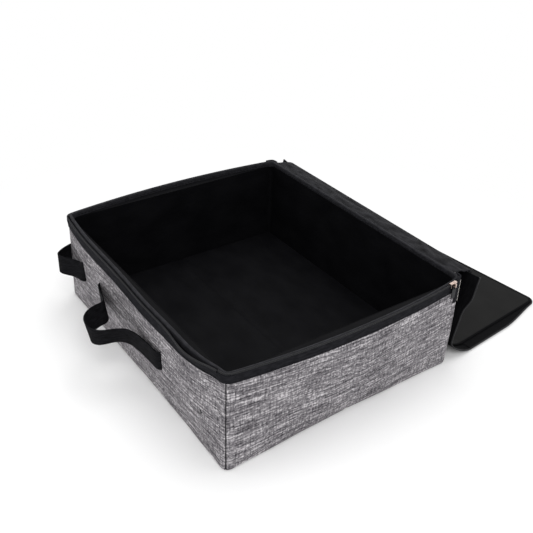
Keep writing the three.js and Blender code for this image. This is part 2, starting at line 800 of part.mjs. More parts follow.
addBase();
const front = addWall('front', 0, { ...longWall, bulge: frontBulge, slit: true, leans: true });
const right = addWall('right', Math.PI / 2, shortWall);
addWall('rear', Math.PI, longWall);
addWall('left', -Math.PI / 2, shortWall);
addCorners();
addStraps(front);
addSnap(front);
addSlider(right);
addLid();

export default litterBox;
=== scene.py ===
# Foldable litter box: heather cloth walls round a black liner, a zipped rim, webbing straps
# and a lid that hangs open behind. Metres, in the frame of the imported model.
import json
import math
from collections import namedtuple

import bpy
from mathutils import Matrix, Quaternion, Vector, noise


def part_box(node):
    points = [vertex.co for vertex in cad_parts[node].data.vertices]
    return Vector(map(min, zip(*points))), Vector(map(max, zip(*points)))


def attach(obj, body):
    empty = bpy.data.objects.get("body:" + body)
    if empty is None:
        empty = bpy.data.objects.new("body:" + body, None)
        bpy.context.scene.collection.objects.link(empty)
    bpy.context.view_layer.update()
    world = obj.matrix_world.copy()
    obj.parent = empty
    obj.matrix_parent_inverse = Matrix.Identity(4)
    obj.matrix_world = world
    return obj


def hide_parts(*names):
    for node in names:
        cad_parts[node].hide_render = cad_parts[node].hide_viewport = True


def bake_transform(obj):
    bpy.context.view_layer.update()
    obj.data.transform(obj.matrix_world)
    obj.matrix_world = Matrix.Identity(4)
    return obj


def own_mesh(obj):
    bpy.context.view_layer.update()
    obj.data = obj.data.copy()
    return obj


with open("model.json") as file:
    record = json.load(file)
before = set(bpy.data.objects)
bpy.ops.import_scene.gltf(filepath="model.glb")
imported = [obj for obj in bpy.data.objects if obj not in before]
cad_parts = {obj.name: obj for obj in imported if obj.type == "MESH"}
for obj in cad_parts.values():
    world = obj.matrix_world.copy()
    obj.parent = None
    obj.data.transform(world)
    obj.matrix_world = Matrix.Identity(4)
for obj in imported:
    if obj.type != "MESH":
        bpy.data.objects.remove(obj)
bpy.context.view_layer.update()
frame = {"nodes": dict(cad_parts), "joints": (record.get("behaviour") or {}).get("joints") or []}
MM = 0.001
UP = Vector((0, 0, 1))
LINERS_ABOVE_FLOOR = 0.3 * MM
joints = {joint["name"]: joint for joint in frame["joints"]}

# Sizes taken from the frame
half_length, half_depth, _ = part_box("base_cover")[1]
rim_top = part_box("rear_rim_binding")[1].z
long_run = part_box("rear_rim_binding")[1].x
short_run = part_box("left_rim_binding")[1].y
long_fold = joints["long_walls_fold"]["pos_m"][2]
short_fold = joints["short_walls_fold"]["pos_m"][2]
front_bulge = -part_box("front_wall_cover")[0].y - half_depth
side_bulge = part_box("right_wall_cover")[1].x - half_length
cover_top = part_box("front_wall_cover")[1].z
rear_cover_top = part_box("rear_wall_cover")[1].z
tape_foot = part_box("front_zip_tape")[0].z
tape_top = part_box("front_zip_tape")[1].z
liner_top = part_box("front_wall_liner")[1].z
inner_face = half_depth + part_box("front_wall_liner")[1].y
floor_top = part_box("left_wall_liner")[0].z - LINERS_ABOVE_FLOOR

# Cloth, tape and thread
COVER_THICK = 1.0 * MM
LINER_THICK = 0.7 * MM
TAPE_THICK = 1.0 * MM
LID_LINING_THICK = 0.8 * MM
BOTTOM_ROUND = 3.0 * MM
CORNER_ROUND = half_length - long_run
FOLD_BELOW = 9 * MM
FOLD_ABOVE = 3.6 * MM
THREAD = 0.5 * MM
STITCH = 3.4 * MM
STITCH_GAP = 1.8 * MM

# How the cloth of the two front corners is pushed out at its foot: side, and how far in x, y, z
FOOT_PUSHES = ((1, (7.3 * MM, -4.3 * MM, 0)), (-1, (-7.5 * MM, 0, 0)))
FOOT_SPREAD = 90 * MM
FOOT_HEIGHT = 80 * MM

# Lid: each part's length, half the width, the thickness, the gap to what it lies on, the corners'
# radius, and how far in the edge is bound
LID_STRIP = 30 * MM
LID_UPPER = 97 * MM
LID_CREASE = 45 * MM
LID_LOWER = 168 * MM
LID_HALF = 193 * MM
LID_THICK = 5.0 * MM
LID_GAP = 0.3 * MM
LID_CORNER = 14 * MM
LID_HEM = 6.5 * MM
LID_INSET = LID_HEM - 1.5 * MM

# How the open lid hangs and lies
STRIP_DROOP = math.radians(13.6)
UPPER_LEAN = math.radians(13.5)
LOWER_YAW = math.radians(5.8)
LOWER_SHIFT = 2.16 * MM
LOWER_STAND_OFF = 22.5 * MM

Wall = namedtuple("Wall", "name body turn run reach fold bulge top creased")
front = Wall("front", "front_wall", 0, long_run, half_depth, long_fold, front_bulge, cover_top, False)
rear = Wall("rear", "rear_wall", math.pi, long_run, half_depth, long_fold, 0, rear_cover_top, False)
right, left = (
    Wall(side, f"{side}_wall", turn, short_run, half_length, short_fold, side_bulge, cover_top, True)
    for side, turn in (("right", math.pi / 2), ("left", -math.pi / 2))
)
WALLS = (front, right, rear, left)
ZIPPED = (front, right, left)


# Materials. Roughness, IOR and metallic start from each real material's usual values, and are then
# matched to the object.
def linear(code):
    """An sRGB hex colour as linear red, green, blue and alpha."""
    parts = [int(code[i:i + 2], 16) / 255 for i in (1, 3, 5)]
    return [c / 12.92 if c <= 0.04045 else ((c + 0.055) / 1.055) ** 2.4 for c in parts] + [1]


def add(tree, kind, inputs=None, give=0, stops=(), **settings):
    """Adds a node with its settings and links, and gives back one of its outputs.

    An input is a value, or the output that feeds it. Stops are a ramp's (place, hex colour) pairs.
    """
    made = tree.nodes.new(kind)
    for key, value in settings.items():
        setattr(made, key, value)
    for key, value in (inputs or {}).items():
        if isinstance(value, bpy.types.NodeSocket):
            tree.links.new(value, made.inputs[key])
        else:
            made.inputs[key].default_value = value
    if stops:
        elements = made.color_ramp.elements
        while len(elements) < len(stops):
            elements.new(0.5)
        for element, (place, code) in zip(elements, stops):
            element.position = place
            element.color = linear(code)
    return made.outputs[give]


def new_material(name):
    material = bpy.data.materials.new(name)
    material.use_nodes = True
    return material, material.node_tree


def surface(tree, colour, roughness, metallic=0.0, height=None, depth_mm=0.0, **sockets):
    """Feeds the shader its colour and its bump; what is the same all over sits on its own sockets."""
    shader = tree.nodes["Principled BSDF"]
    for key, value in {"Roughness": roughness, "Metallic": metallic, **sockets}.items():
        shader.inputs[key.replace("_", " ")].default_value = value
    tree.links.new(colour, shader.inputs["Base Color"])
    if height is not None:
        inputs = {"Height": height, "Distance": depth_mm * MM, "Strength": 1.0}
        tree.links.new(add(tree, "ShaderNodeBump", inputs), shader.inputs["Normal"])
    return shader


def threads(tree, long_mm, thick_mm, where=None, **settings):
    """Noise whose marks are so long along the cloth's U direction and so thick across it."""
    if where is None:
        where = add(tree, "ShaderNodeUVMap", uv_map="cloth")
    size = (1 / (long_mm * MM), 1 / (thick_mm * MM), 1)
    placed = add(tree, "ShaderNodeMapping", {"Vector": where, "Scale": size})
    return add(tree, "ShaderNodeTexNoise", {"Vector": placed, "Scale": 1.0, **settings}, give="Fac")


# The heather cloth's streaks: share of the shade, length and thickness in mm, and the noise's settings.
# The real yarns are about 0.5 mm thick, too fine to show, so they are drawn about four times as coarse.
STREAKS = (
    (0.36, 44, 2.3, {"Detail": 2.0, "Roughness": 0.6}),     # slubs that run far along the weft
    (0.16, 12, 1.9, {"Detail": 2.0}),                       # plain weft yarns
    (0.21, 2.0, 15, {"Detail": 2.0, "Roughness": 0.6}),     # warp yarns, which cross them
    (0.23, 3.0, 2.2, {"Detail": 1.0}),                      # single crossings that catch the light
    (0.04, 60, 34, {"Detail": 1.0}),                        # wide cloudy areas of the dye
)
HEATHER_STOPS = ((0.39, "#333135"), (0.465, "#676468"), (0.525, "#8b888b"), (0.60, "#d3cfd2"))


def heather_polyester():
    """Linen-look polyester, plain woven from yarns that were dyed near black, grey and pale.

    It gives the eye a matt salt-and-pepper grey, streaked along the weft by thick slubs, and a
    surface just rough enough to lose any highlight.
    """
    material, tree = new_material("heather_linen_look_polyester_woven")
    where = add(tree, "ShaderNodeUVMap", uv_map="cloth")
    # The yarns wander by a few millimetres over a hand's width
    inputs = {"Vector": where, "Scale": 1 / (75 * MM), "Detail": 0.0}
    drift = add(tree, "ShaderNodeTexNoise", inputs, give="Color")
    shift = add(tree, "ShaderNodeVectorMath", {0: drift, "Scale": 9 * MM}, operation="SCALE")
    bent = add(tree, "ShaderNodeVectorMath", {0: where, 1: shift}, operation="ADD")
    shade = 0.0
    for share, long_mm, thick_mm, settings in STREAKS:
        yarn = threads(tree, long_mm, thick_mm, bent, **settings)
        shade = add(tree, "ShaderNodeMath", {0: yarn, 1: share, 2: shade}, operation="MULTIPLY_ADD")
    colour = add(tree, "ShaderNodeValToRGB", {"Fac": shade}, stops=HEATHER_STOPS)
    surface(tree, colour, 0.92, height=shade, depth_mm=0.5, Specular_IOR_Level=0.15)
    return material


def ribbed_cloth(name, codes, roughness, pitch_mm, depth_mm, **sockets):
    """Narrow goods woven of dyed polyester: fine ribs along their length, a little worn in places."""
    material, tree = new_material(name)
    where = add(tree, "ShaderNodeUVMap", uv_map="cloth")
    across = add(tree, "ShaderNodeSeparateXYZ", {"Vector": where}, give="Y")
    turns = {0: across, 1: 2 * math.pi / (pitch_mm * MM)}
    angle = add(tree, "ShaderNodeMath", turns, operation="MULTIPLY")
    wave = add(tree, "ShaderNodeMath", {0: angle}, operation="SINE")
    worn = threads(tree, 9, 2.2, Detail=2.0)
    height = add(tree, "ShaderNodeMath", {0: wave, 1: 0.12, 2: worn}, operation="MULTIPLY_ADD")
    # The colour follows the height: lighter on the ribs' crests and darker in their grooves, a painted
    # light and shade
    colour = add(tree, "ShaderNodeValToRGB", {"Fac": height}, stops=((0.35, codes[0]), (0.75, codes[1])))
    surface(tree, colour, roughness, height=height, depth_mm=depth_mm, **sockets)
    return material


def coated_cloth(name, codes, roughness, wrinkle_mm, crease_mm=(46, 28), **sockets):
    """Cloth coated on one side: a smooth skin with soft creases, and under it a faint weave."""
    material, tree = new_material(name)
    creases = threads(tree, *crease_mm, Detail=3.0)
    # The real weave is about half as wide; it is drawn 1.2 mm wide so that it shows
    weave = threads(tree, 1.2, 1.2, Detail=1.0)
    height = add(tree, "ShaderNodeMath", {0: weave, 1: 0.05, 2: creases}, operation="MULTIPLY_ADD")
    # The colour follows the creases: lighter on their ridges and darker in their dips, a painted light and
    # shade
    colour = add(tree, "ShaderNodeValToRGB", {"Fac": creases}, stops=((0.3, codes[0]), (0.7, codes[1])))
    surface(tree, colour, roughness, height=height, depth_mm=wrinkle_mm, **sockets)
    return material


def nylon_coil_plastic():
    """Nylon monofilament, dyed black and wound into a coil: a soft gloss on each round tooth."""
    material, tree = new_material("nylon_monofilament_coil_dyed")
    worn = threads(tree, 12, 3)
    colour = add(tree, "ShaderNodeValToRGB", {"Fac": worn}, stops=((0.3, "#111113"), (0.7, "#1d1d20")))
    surface(tree, colour, 0.45, IOR=1.53, Specular_IOR_Level=0.2)
    return material


def plated_metal(name, codes, roughness, metallic=1.0, **sockets):
    """Die-cast zinc under thin plating: smooth, with small dull marks from the tumbling barrel."""
    material, tree = new_material(name)
    where = add(tree, "ShaderNodeTexCoord", give="Object")
    inputs = {"Vector": where, "Scale": 1 / (2 * MM), "Detail": 2.0}
    marks = add(tree, "ShaderNodeTexNoise", inputs, give="Fac")
    colour = add(tree, "ShaderNodeValToRGB", {"Fac": marks}, stops=((0.35, codes[0]), (0.65, codes[1])))
    surface(tree, colour, roughness, metallic, height=marks, depth_mm=0.03, **sockets)
    return material


def polyethylene_board():
    """Black extruded polyethylene: a flat, waxy sheet with a fine even grain from the rollers."""
    material, tree = new_material("polyethylene_board_extruded")
    where = add(tree, "ShaderNodeTexCoord", give="Object")
    grain = add(tree, "ShaderNodeTexNoise", {"Vector": where, "Scale": 1 / (0.8 * MM)}, give="Fac")
    colour = add(tree, "ShaderNodeValToRGB", {"Fac": grain}, stops=((0.3, "#18181a"), (0.7, "#202023")))
    surface(tree, colour, 0.6, height=grain, depth_mm=0.05, IOR=1.51)
    return material


# Dyed black cloths give back almost no highlight
DULL = {"Specular_IOR_Level": 0.04}

HEATHER = heather_polyester()

# Zip tape: flat black with a soft rib. Its ribs, like those below, are drawn about twice as wide
# as the real ones, so that they show.
TAPE = ribbed_cloth("polyester_zip_tape_woven", ("#141417", "#27272b"), 0.75, 1.1, 0.3, **DULL)

# Strap webbing: deeper black with wide, plain ribs
WEBBING = ribbed_cloth("polyester_webbing_woven", ("#0c0c0e", "#1c1c1f"), 0.8, 2.4, 0.35, **DULL)

# The rim's binding: a closer, smoother tape whose round edge catches a thin grey light
BINDING = ribbed_cloth(
    "polyester_binding_tape_woven", ("#18181b", "#2d2d31"), 0.6, 0.9, 0.15, Specular_IOR_Level=0.12,
)

# The lid's binding and its half of the zip: a plain black line round the lid, drawn near black and darker
# than the walls' half of the same zip, which is painted shade for the shadow the lid's edge lies in
SHADED_HEM = ribbed_cloth("polyester_lid_binding_woven", ("#060607", "#0d0d0f"), 0.7, 0.9, 0.15, **DULL)

# The tray's liner: waterproof coated cloth, an even deep black with soft creases and little sheen
LINER = coated_cloth("waterproof_liner_cloth_coated", ("#08080a", "#101012"), 0.6, 0.9, **DULL)

# The lid's lining: the same kind of cloth in charcoal, drawn flat over its boards
LID_LINING = coated_cloth("lid_lining_cloth_coated", ("#1d1d1d", "#212121"), 0.6, 0.4, **DULL)

# The hinge strip's cloth, crumpled: its colour is pale grey on the crumples' ridges and near black in their
# dips, a painted light and shade
HINGE = coated_cloth(
    "lid_hinge_cloth_crumpled", ("#0b0b0d", "#2e2e31"), 0.65, 1.6, crease_mm=(16, 8), **DULL,
)

COIL = nylon_coil_plastic()
BOARD = polyethylene_board()

# The slider: rose plating, a small warm glint on the black rim
ZIP_METAL = plated_metal("zip_slider_zinc_rose_plated", ("#b79f94", "#e6d3c8"), 0.3)

# The snap's cap: black under clear lacquer, which adds a sharp highlight
SNAP_METAL = plated_metal(
    "fitting_zinc_black_lacquered", ("#0d0d0f", "#18181b"), 0.3, 0.9,
    Coat_Weight=0.5, Coat_Roughness=0.08,
)

# The zip's pull: black plating without lacquer, a duller dark metal
PULL_METAL = plated_metal("zip_pull_zinc_black_plated", ("#121214", "#1f1f22"), 0.4, 0.9)

# Bonded thread: smooth and tightly twisted, black on black seams and pale at the zip's ends
BLACK_THREAD = ribbed_cloth(
    "bonded_polyester_thread_black", ("#0e0e10", "#1c1c1f"), 0.6, 0.5, 0.05, **DULL,
)
PALE_THREAD = ribbed_cloth("bonded_polyester_thread_pale", ("#8d8984", "#c4c0ba"), 0.6, 0.5, 0.05)


# Building meshes
CRISP = math.radians(38)


def mesh_object(name, points, faces, uvs, material):
    """A smooth-shaded mesh, crisp at its sharp edges, with one UV in metres for each point."""
    mesh = bpy.data.meshes.new(name)
    mesh.from_pydata([tuple(p) for p in points], [], faces)
    layer = mesh.uv_layers.new(name="cloth")
    for loop in mesh.loops:
        layer.data[loop.index].uv = uvs[loop.vertex_index]
    mesh.materials.append(material)
    mesh.shade_smooth()
    mesh.set_sharp_from_angle(angle=CRISP)
    made = bpy.data.objects.new(name, mesh)
    bpy.context.scene.collection.objects.link(made)
    return made


def thicken(piece, thickness):
    """Gives a cloth its thickness, inward from its drawn face, with its cut edges kept crisp."""
    made = piece.modifiers.new("cloth thickness", "SOLIDIFY")
    made.thickness = thickness
    made.offset = -1.0
    made.use_even_offset = True
    drawn = piece.evaluated_get(bpy.context.evaluated_depsgraph_get())
    piece.data = bpy.data.meshes.new_from_object(drawn)
    piece.modifiers.clear()
    piece.data.set_sharp_from_angle(angle=CRISP)
    return piece


def lay_sheet(name, columns, rows, place, size, material, thickness, flip=False, start=(0, 0)):
    """A cloth of columns by rows; place(u, v) gives each point for shares u and v."""
    points = []
    uvs = []
    for r in range(rows + 1):
        for c in range(columns + 1):
            points.append(place(c / columns, r / rows))
            uvs.append((start[0] + size[0] * c / columns, start[1] + size[1] * r / rows))
    wide = columns + 1
    faces = []
    for r in range(rows):
        for c in range(columns):
            p = r * wide + c
            quad = (p, p + 1, p + wide + 1, p + wide)
            faces.append(quad[::-1] if flip else quad)
    return thicken(mesh_object(name, points, faces, uvs, material), thickness)


def sweep(name, stations, section, material, size=None):
    """Carries a section of (across, up) points along stations of (point, across way, up way)."""
    points = []
    uvs = []
    along = 0
    count = len(section)
    for n, (centre, across_way, up_way) in enumerate(stations):
        if n:
            along += (centre - stations[n - 1][0]).length
        share = size(n) if size else 1
        round_it = 0
        for i, (across, up) in enumerate(section):
            points.append(centre + across_way * across * share + up_way * up * share)
            if i:
                round_it += math.dist(section[i], section[i - 1])
            uvs.append((along, round_it))
    faces = []
    for n in range(len(stations) - 1):
        for i in range(count):
            j = (i + 1) % count
            faces.append((n * count + i, n * count + j, (n + 1) * count + j, (n + 1) * count + i))
    last = (len(stations) - 1) * count
    faces.append(tuple(range(count - 1, -1, -1)))
    faces.append(tuple(range(last, last + count)))
    return mesh_object(name, points, faces, uvs, material)


def round_section(width, height, corner, steps=4):
    """A rounded rectangle about its middle, as (across, up) points."""
    outline = []
    for sx, sy, start in ((1, 1, 0), (-1, 1, 90), (-1, -1, 180), (1, -1, 270)):
        for n in range(steps + 1):
            turn = math.radians(start + 90 * n / steps)
            x = sx * (width / 2 - corner) + corner * math.cos(turn)
            outline.append((x, sy * (height / 2 - corner) + corner * math.sin(turn)))
    return outline


def dress(piece, slot, body=None, replaces=(), over=None, folds_with=None):
    """Sets a piece in place: attached to its body, or, given a span, baked where it stands; a piece that
    folds with a joint gets a mesh of its own, and the solids it stands for are hidden. Its slot is not
    used.
    """
    if over:
        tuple(over[2])
        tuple(over[3])
        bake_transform(piece)
    else:
        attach(piece, body)
    if folds_with:
        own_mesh(piece)
    if replaces:
        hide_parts(*replaces)
    return piece


# A stitch from end to end: share of its length, and share of the thread's thickness
STITCH_RINGS = ((-0.5, 0.25), (-0.3, 0.9), (0, 1.0), (0.3, 0.9), (0.5, 0.25))
STITCH_FLATNESS = 0.7


def stitch_row(name, line, out, material, slot, body, folds_with=None, thread=THREAD):
    """Single stitches along a line of points, each a small lens of thread lying on the cloth."""
    points = []
    faces = []
    travelled = 0
    ring = 6
    bands = len(STITCH_RINGS) - 1
    for start, end in zip(line, line[1:]):
        length = (end - start).length
        way = (end - start) / length
        side = way.cross(out).normalized()
        while travelled < length:
            middle = start + way * travelled
            base = len(points)
            for share, thick in STITCH_RINGS:
                for k in range(ring):
                    turn = 2 * math.pi * k / ring
                    wide = side * math.cos(turn) * thread * thick
                    tall = out * math.sin(turn) * thread * STITCH_FLATNESS * thick
                    points.append(middle + way * STITCH * share + wide + tall)
            for band in range(bands):
                for k in range(ring):
                    p = base + band * ring + k
                    q = base + band * ring + (k + 1) % ring
                    faces.append((p, q, q + ring, p + ring))
            faces.append(tuple(base + k for k in range(ring - 1, -1, -1)))
            faces.append(tuple(base + bands * ring + k for k in range(ring)))
            travelled += STITCH + STITCH_GAP
        travelled -= length
    made = mesh_object(name, points, faces, [(p.x, p.z) for p in points], material)
    return dress(made, slot, body, folds_with=folds_with)


# Where the front wall's rim is pushed out or held in: how far, where along it and over what width
BOW_PUSHES = ((4 * MM, 142 * MM, 38 * MM), (-6.3 * MM, -35 * MM, 85 * MM))
BOW_FADES_FROM = 165 * MM
BOW_FOOT = 8 * MM

# Each wall is cut from another stretch of the cloth
CLOTH_SHIFT = 0.7

# Slack in the covers, and the crease of the short walls' two boards
SLACK = 1.1 * MM
SLACK_SIDE = 30 * MM
SLACK_BELOW = 25 * MM
BOARD_SWELL = 2.0 * MM
BOARD_CREASE = 1.8 * MM
BOARD_CREASE_WIDE = 2.6 * MM
BOARD_CREASE_TOP = 4 * MM
BOARD_CREASE_FADE = 20 * MM


def ripple(x, y, z):
    """Smooth unevenness, at most 1 either way; what comes in is places times waves to the metre."""
    return noise.noise(Vector((x, y, z)))


def on_wall(wall, along, up, out=0):
    """A place on a wall: along it, up it and out from its outer face."""
    c, s = math.cos(wall.turn), math.sin(wall.turn)
    reach = wall.reach + out
    return Vector((along * c + reach * s, along * s - reach * c, up))


def out_of(wall):
    return Vector((math.sin(wall.turn), -math.cos(wall.turn), 0))


def arc_radius(wall):
    """The radius of the arc that a wall's rim bows in."""
    return (wall.run ** 2 + wall.bulge ** 2) / (2 * wall.bulge)


def smooth_step(value, low, high):
    """0 up to low, 1 from high, and a smooth rise between."""
    share = min(1, max(0, (value - low) / (high - low)))
    return share * share * (3 - 2 * share)


def mound(along, middle, width):
    """A smooth bump of height 1 about a middle."""
    return math.exp(-((along - middle) / width) ** 2)


def bow(wall, along):
    """How far a wall's rim bows out; the front one bows less at its middle and more near the right."""
    if not wall.bulge:
        return 0
    radius = arc_radius(wall)
    arc = math.sqrt(radius ** 2 - along ** 2) - (radius - wall.bulge)
    if wall is front:
        pull = sum(push * mound(along, middle, width) for push, middle, width in BOW_PUSHES)
        arc += pull * (1 - smooth_step(abs(along), BOW_FADES_FROM, wall.run))
    return arc


def rise(wall, up):
    """The share of the rim's bow that a wall has at a height."""
    foot = wall.fold - BOW_FOOT
    return min(1, max(0, (up - foot) / (tape_foot - foot))) ** 0.5


def settle(point):
    """The front corners' cloth, pushed a few millimetres out at the foot."""
    low = max(0, 1 - point.z / FOOT_HEIGHT)
    moved = point.copy()
    for side_x, push in FOOT_PUSHES:
        far = math.hypot(point.x - side_x * half_length, point.y + half_depth) / FOOT_SPREAD
        moved += Vector(push) * math.exp(-far * far) * low * low * (3 - 2 * low)
    return moved


def cloth_face(wall, along, up):
    """How far the soft cover stands out: its bow, the boards' crease and slight slack in the cloth."""
    slack = ripple(along * 14 + wall.turn * 3, up * 22, wall.reach * 7)
    edge = min(1, (wall.run - abs(along)) / SLACK_SIDE) * min(1, max(0, (tape_foot - up) / SLACK_BELOW))
    face = bow(wall, along) * rise(wall, up) + slack * SLACK * edge
    if wall.creased:
        fade = min(1, max(0, (tape_foot + BOARD_CREASE_TOP - up) / BOARD_CREASE_FADE))
        face += BOARD_SWELL * (1 - abs(along) / wall.run) * fade * rise(wall, up)
        face -= BOARD_CREASE * mound(along, 0, BOARD_CREASE_WIDE) * fade
    return face


def bottom_profile(share, top):
    """(out, up) down a wall's cloth, which turns under the bottom edge in a small round."""
    turned = BOTTOM_ROUND * math.pi / 2
    total = turned + top - BOTTOM_ROUND
    run = share * total
    if run < turned:
        angle = run / BOTTOM_ROUND
        return (math.sin(angle) - 1) * BOTTOM_ROUND, (1 - math.cos(angle)) * BOTTOM_ROUND
    return 0, BOTTOM_ROUND + run - turned


def fold_span(wall, out=0):
    """Where cloth leaves the base and where it follows the wall, below and above the fold between them."""
    foot = on_wall(wall, 0, wall.fold - FOLD_BELOW, out)
    head = on_wall(wall, 0, wall.fold + FOLD_ABOVE, out)
    return "base", wall.body, tuple(foot), tuple(head)


def wall_cover(wall):
    """The outer cloth, from under the bottom edge to the rim."""

    def place(u, v):
        along = wall.run * (2 * u - 1)
        out, up = bottom_profile(v, wall.top)
        return settle(on_wall(wall, along, up, out + cloth_face(wall, along, up)))

    size = (2 * wall.run, wall.top + BOTTOM_ROUND)
    start = (wall.turn * CLOTH_SHIFT, 0)
    made = lay_sheet(f"{wall.name}_cover_cloth", 90, 34, place, size, HEATHER, COVER_THICK, start=start)
    return dress(made, "grey_fabric", over=fold_span(wall), replaces=[f"{wall.name}_wall_cover"])


# How far the liner reaches up into the binding, and its padding
LINER_TUCK = 0.7 * MM
REAR_LINER_TUCK = 1.5 * MM
LINER_PAD = 0.4 * MM
LINER_SOFT = 0.7 * MM


def wall_liner(wall):
    """The waterproof inner cloth, from the floor to the binding, with slight padding."""
    foot, head = floor_top, liner_top + (REAR_LINER_TUCK if wall is rear else LINER_TUCK)

    def place(u, v):
        along = wall.run * (2 * u - 1)
        up = foot + (head - foot) * v
        soft = ripple(along * 11 + 4, up * 16, wall.turn)
        swell = math.sin(math.pi * v) * math.cos(math.pi * (u - 0.5))
        return on_wall(wall, along, up, -inner_face - LINER_PAD - LINER_SOFT * soft * swell)

    size = (2 * wall.run, head - foot)
    start = (wall.turn, 0)
    made = lay_sheet(
        f"{wall.name}_liner_cloth", 60, 16, place, size, LINER, LINER_THICK, flip=True, start=start,
    )
    return dress(made, "tray_liner", over=fold_span(wall, inner_face), replaces=[f"{wall.name}_wall_liner"])


# Rim: binding on the liner's edge, zip tape and coil on the cover's edge
LEAN_SHARE = 0.1
FLOP = 5 * MM
FLOP_MIDDLE = 150 * MM
FLOP_WIDE = 34 * MM
RIM_DROP = 4 * MM
REAR_DROP = 2.5 * MM
DROP_FROM = 110 * MM
DROP_WHOLE = 180 * MM
BINDING_BACK = 1.5 * MM
BINDING_WIDE = inner_face - BINDING_BACK
BINDING_OUT = -(inner_face + BINDING_BACK) / 2
BINDING_TALL = 8.2 * MM
BINDING_FLARE = 0.25 * MM
BINDING_STITCH_DOWN = 5 * MM
BINDING_STITCH_IN = 0.3 * MM
TAPE_OUT = 1.35 * MM
TAPE_SLACK = 0.6 * MM
TAPE_STITCH_OUT = 1.5 * MM
TAPE_STITCH_UP = 1.6 * MM
TAPE_MIDDLE = 0.9 * MM
COIL_RADIUS = 1.25 * MM
COIL_PITCH = 1.6 * MM
LEDGE_UP = liner_top + 0.6 * MM
LEDGE_FAR = 1.5 * MM
LEDGE_NEAR = 0.6 * MM


def tape_out(wall, along, share):
    """How far out the zip tape lies: the front one leans in a little, and flops out near the right."""
    if wall is not front:
        return bow(wall, along)
    return bow(wall, along) * (1 - LEAN_SHARE * share) + FLOP * mound(along, FLOP_MIDDLE, FLOP_WIDE) * share


def rim_drop(wall, along):
    """How far the bound edge sinks below the rim's full height, towards the front right corner."""
    if wall is front:
        return RIM_DROP * smooth_step(along, DROP_FROM, DROP_WHOLE)
    if wall is right:
        return RIM_DROP - (RIM_DROP - REAR_DROP) * smooth_step(along, DROP_FROM, wall.run)
    return 0


def bound_edge(wall, along, out, up):
    """A point of the bound edge, which follows the zip tape's bow and sinks with the rim."""
    follow = bow(wall, along) * (1 - (LEAN_SHARE if wall is front else 0))
    return on_wall(wall, along, up - rim_drop(wall, along), follow + out)


def rim_line(wall, steps, out=0, up=0, share=0):
    """Stations along the bowed rim as (point, outward way, up way)."""
    stations = []
    for n in range(steps + 1):
        along = wall.run * (2 * n / steps - 1)
        slope = math.asin(along / arc_radius(wall)) if wall.bulge else 0
        way = Matrix.Rotation(slope, 3, "Z") @ out_of(wall)
        spot = on_wall(wall, along, up, tape_out(wall, along, share))
        stations.append((spot + way * out, way, UP))
    return stations


def corner_line(side_x, side_y, steps, out, up, reach, bowed=0.0):
    """Stations round a corner, tangent to both walls; a longer reach gives a crisper corner."""
    slopes = [0, 0]
    if bowed:
        slopes[0] = bowed * math.asin(long_run / arc_radius(front)) if side_y < 0 else 0
        slopes[1] = bowed * math.asin(short_run / arc_radius(right))
    first = Vector((half_length - CORNER_ROUND, half_depth))
    last = Vector((half_length, half_depth - CORNER_ROUND))
    leave = Vector((math.cos(slopes[0]), -math.sin(slopes[0])))
    arrive = Vector((math.sin(slopes[1]), -math.cos(slopes[1])))
    spots = (first, first + leave * reach, last - arrive * reach, last)
    stations = []
    for n in range(steps + 1):
        t = n / steps
        weights = ((1 - t) ** 3, 3 * t * (1 - t) ** 2, 3 * t * t * (1 - t), t ** 3)
        spot = sum((w * p for w, p in zip(weights, spots)), Vector((0, 0)))
        slants = ((1 - t) ** 2, 2 * t * (1 - t), t * t)
        way = sum((s * (b - a) for s, a, b in zip(slants, spots, spots[1:])), Vector((0, 0)))
        way.normalize()
        outward = Vector((-way.y, way.x))
        spot = spot + outward * out
        stations.append((
            Vector((side_x * spot.x, side_y * spot.y, up)),
            Vector((side_x * outward.x, side_y * outward.y, 0)),
            UP,
        ))
    return stations


def binding_section():
    """The bound edge of the liner: two legs down the cloth and a full round top."""
    half = BINDING_WIDE / 2
    turns = [math.pi * n / 8 for n in range(9)]
    top = [(half * math.cos(turn), half * (math.sin(turn) - 1)) for turn in turns]
    return top + [(-half - BINDING_FLARE, -BINDING_TALL), (half + BINDING_FLARE, -BINDING_TALL)]


def tape_section():
    """The zip tape in section: flat where it is sewn to the cover, rolled out under its coil."""
    shares = ((0.0, 0.35), (0.25, 0.45), (0.55, 1.0), (0.8, 1.2), (1.0, 0.9))
    tall = tape_top - tape_foot
    face = [(out * MM + TAPE_THICK, share * tall) for share, out in shares]
    back = [(out * MM, share * tall) for share, out in reversed(shares)]
    return face + back


def coil_round():
    """The coil in section, round; its teeth come from a size that changes along it."""
    turns = [2 * math.pi * n / 8 for n in range(8)]
    return [(COIL_RADIUS * math.cos(turn), COIL_RADIUS * math.sin(turn)) for turn in turns]


def tooth(n):
    """The coil's size at a step along it: four steps make one tooth and the gap after it."""
    return (1.0, 0.82, 0.7, 0.82)[n % 4]


def lid_tooth(n):
    """The same for the lid's coil, which has two steps to a tooth."""
    return (0.95, 0.75)[n % 2]


def wall_rim(wall):
    """The bound edge along a wall, sewn through from inside."""
    steps = 80
    spots = [wall.run * (2 * n / steps - 1) for n in range(steps + 1)]
    line = [
        (bound_edge(wall, along, 0, rim_top) + way * BINDING_OUT, way, UP)
        for along, (_, way, _) in zip(spots, rim_line(wall, steps))
    ]
    binding = sweep(f"{wall.name}_binding_tape", line, binding_section(), BINDING)
    dress(binding, "black_tape", wall.body, [f"{wall.name}_rim_binding"])
    inside = -inner_face - BINDING_STITCH_IN
    row = [bound_edge(wall, along, inside, rim_top - BINDING_STITCH_DOWN) for along in spots]
    stitch_row(f"{wall.name}_binding_stitches", row, -out_of(wall), BLACK_THREAD, "black_tape", wall.body)


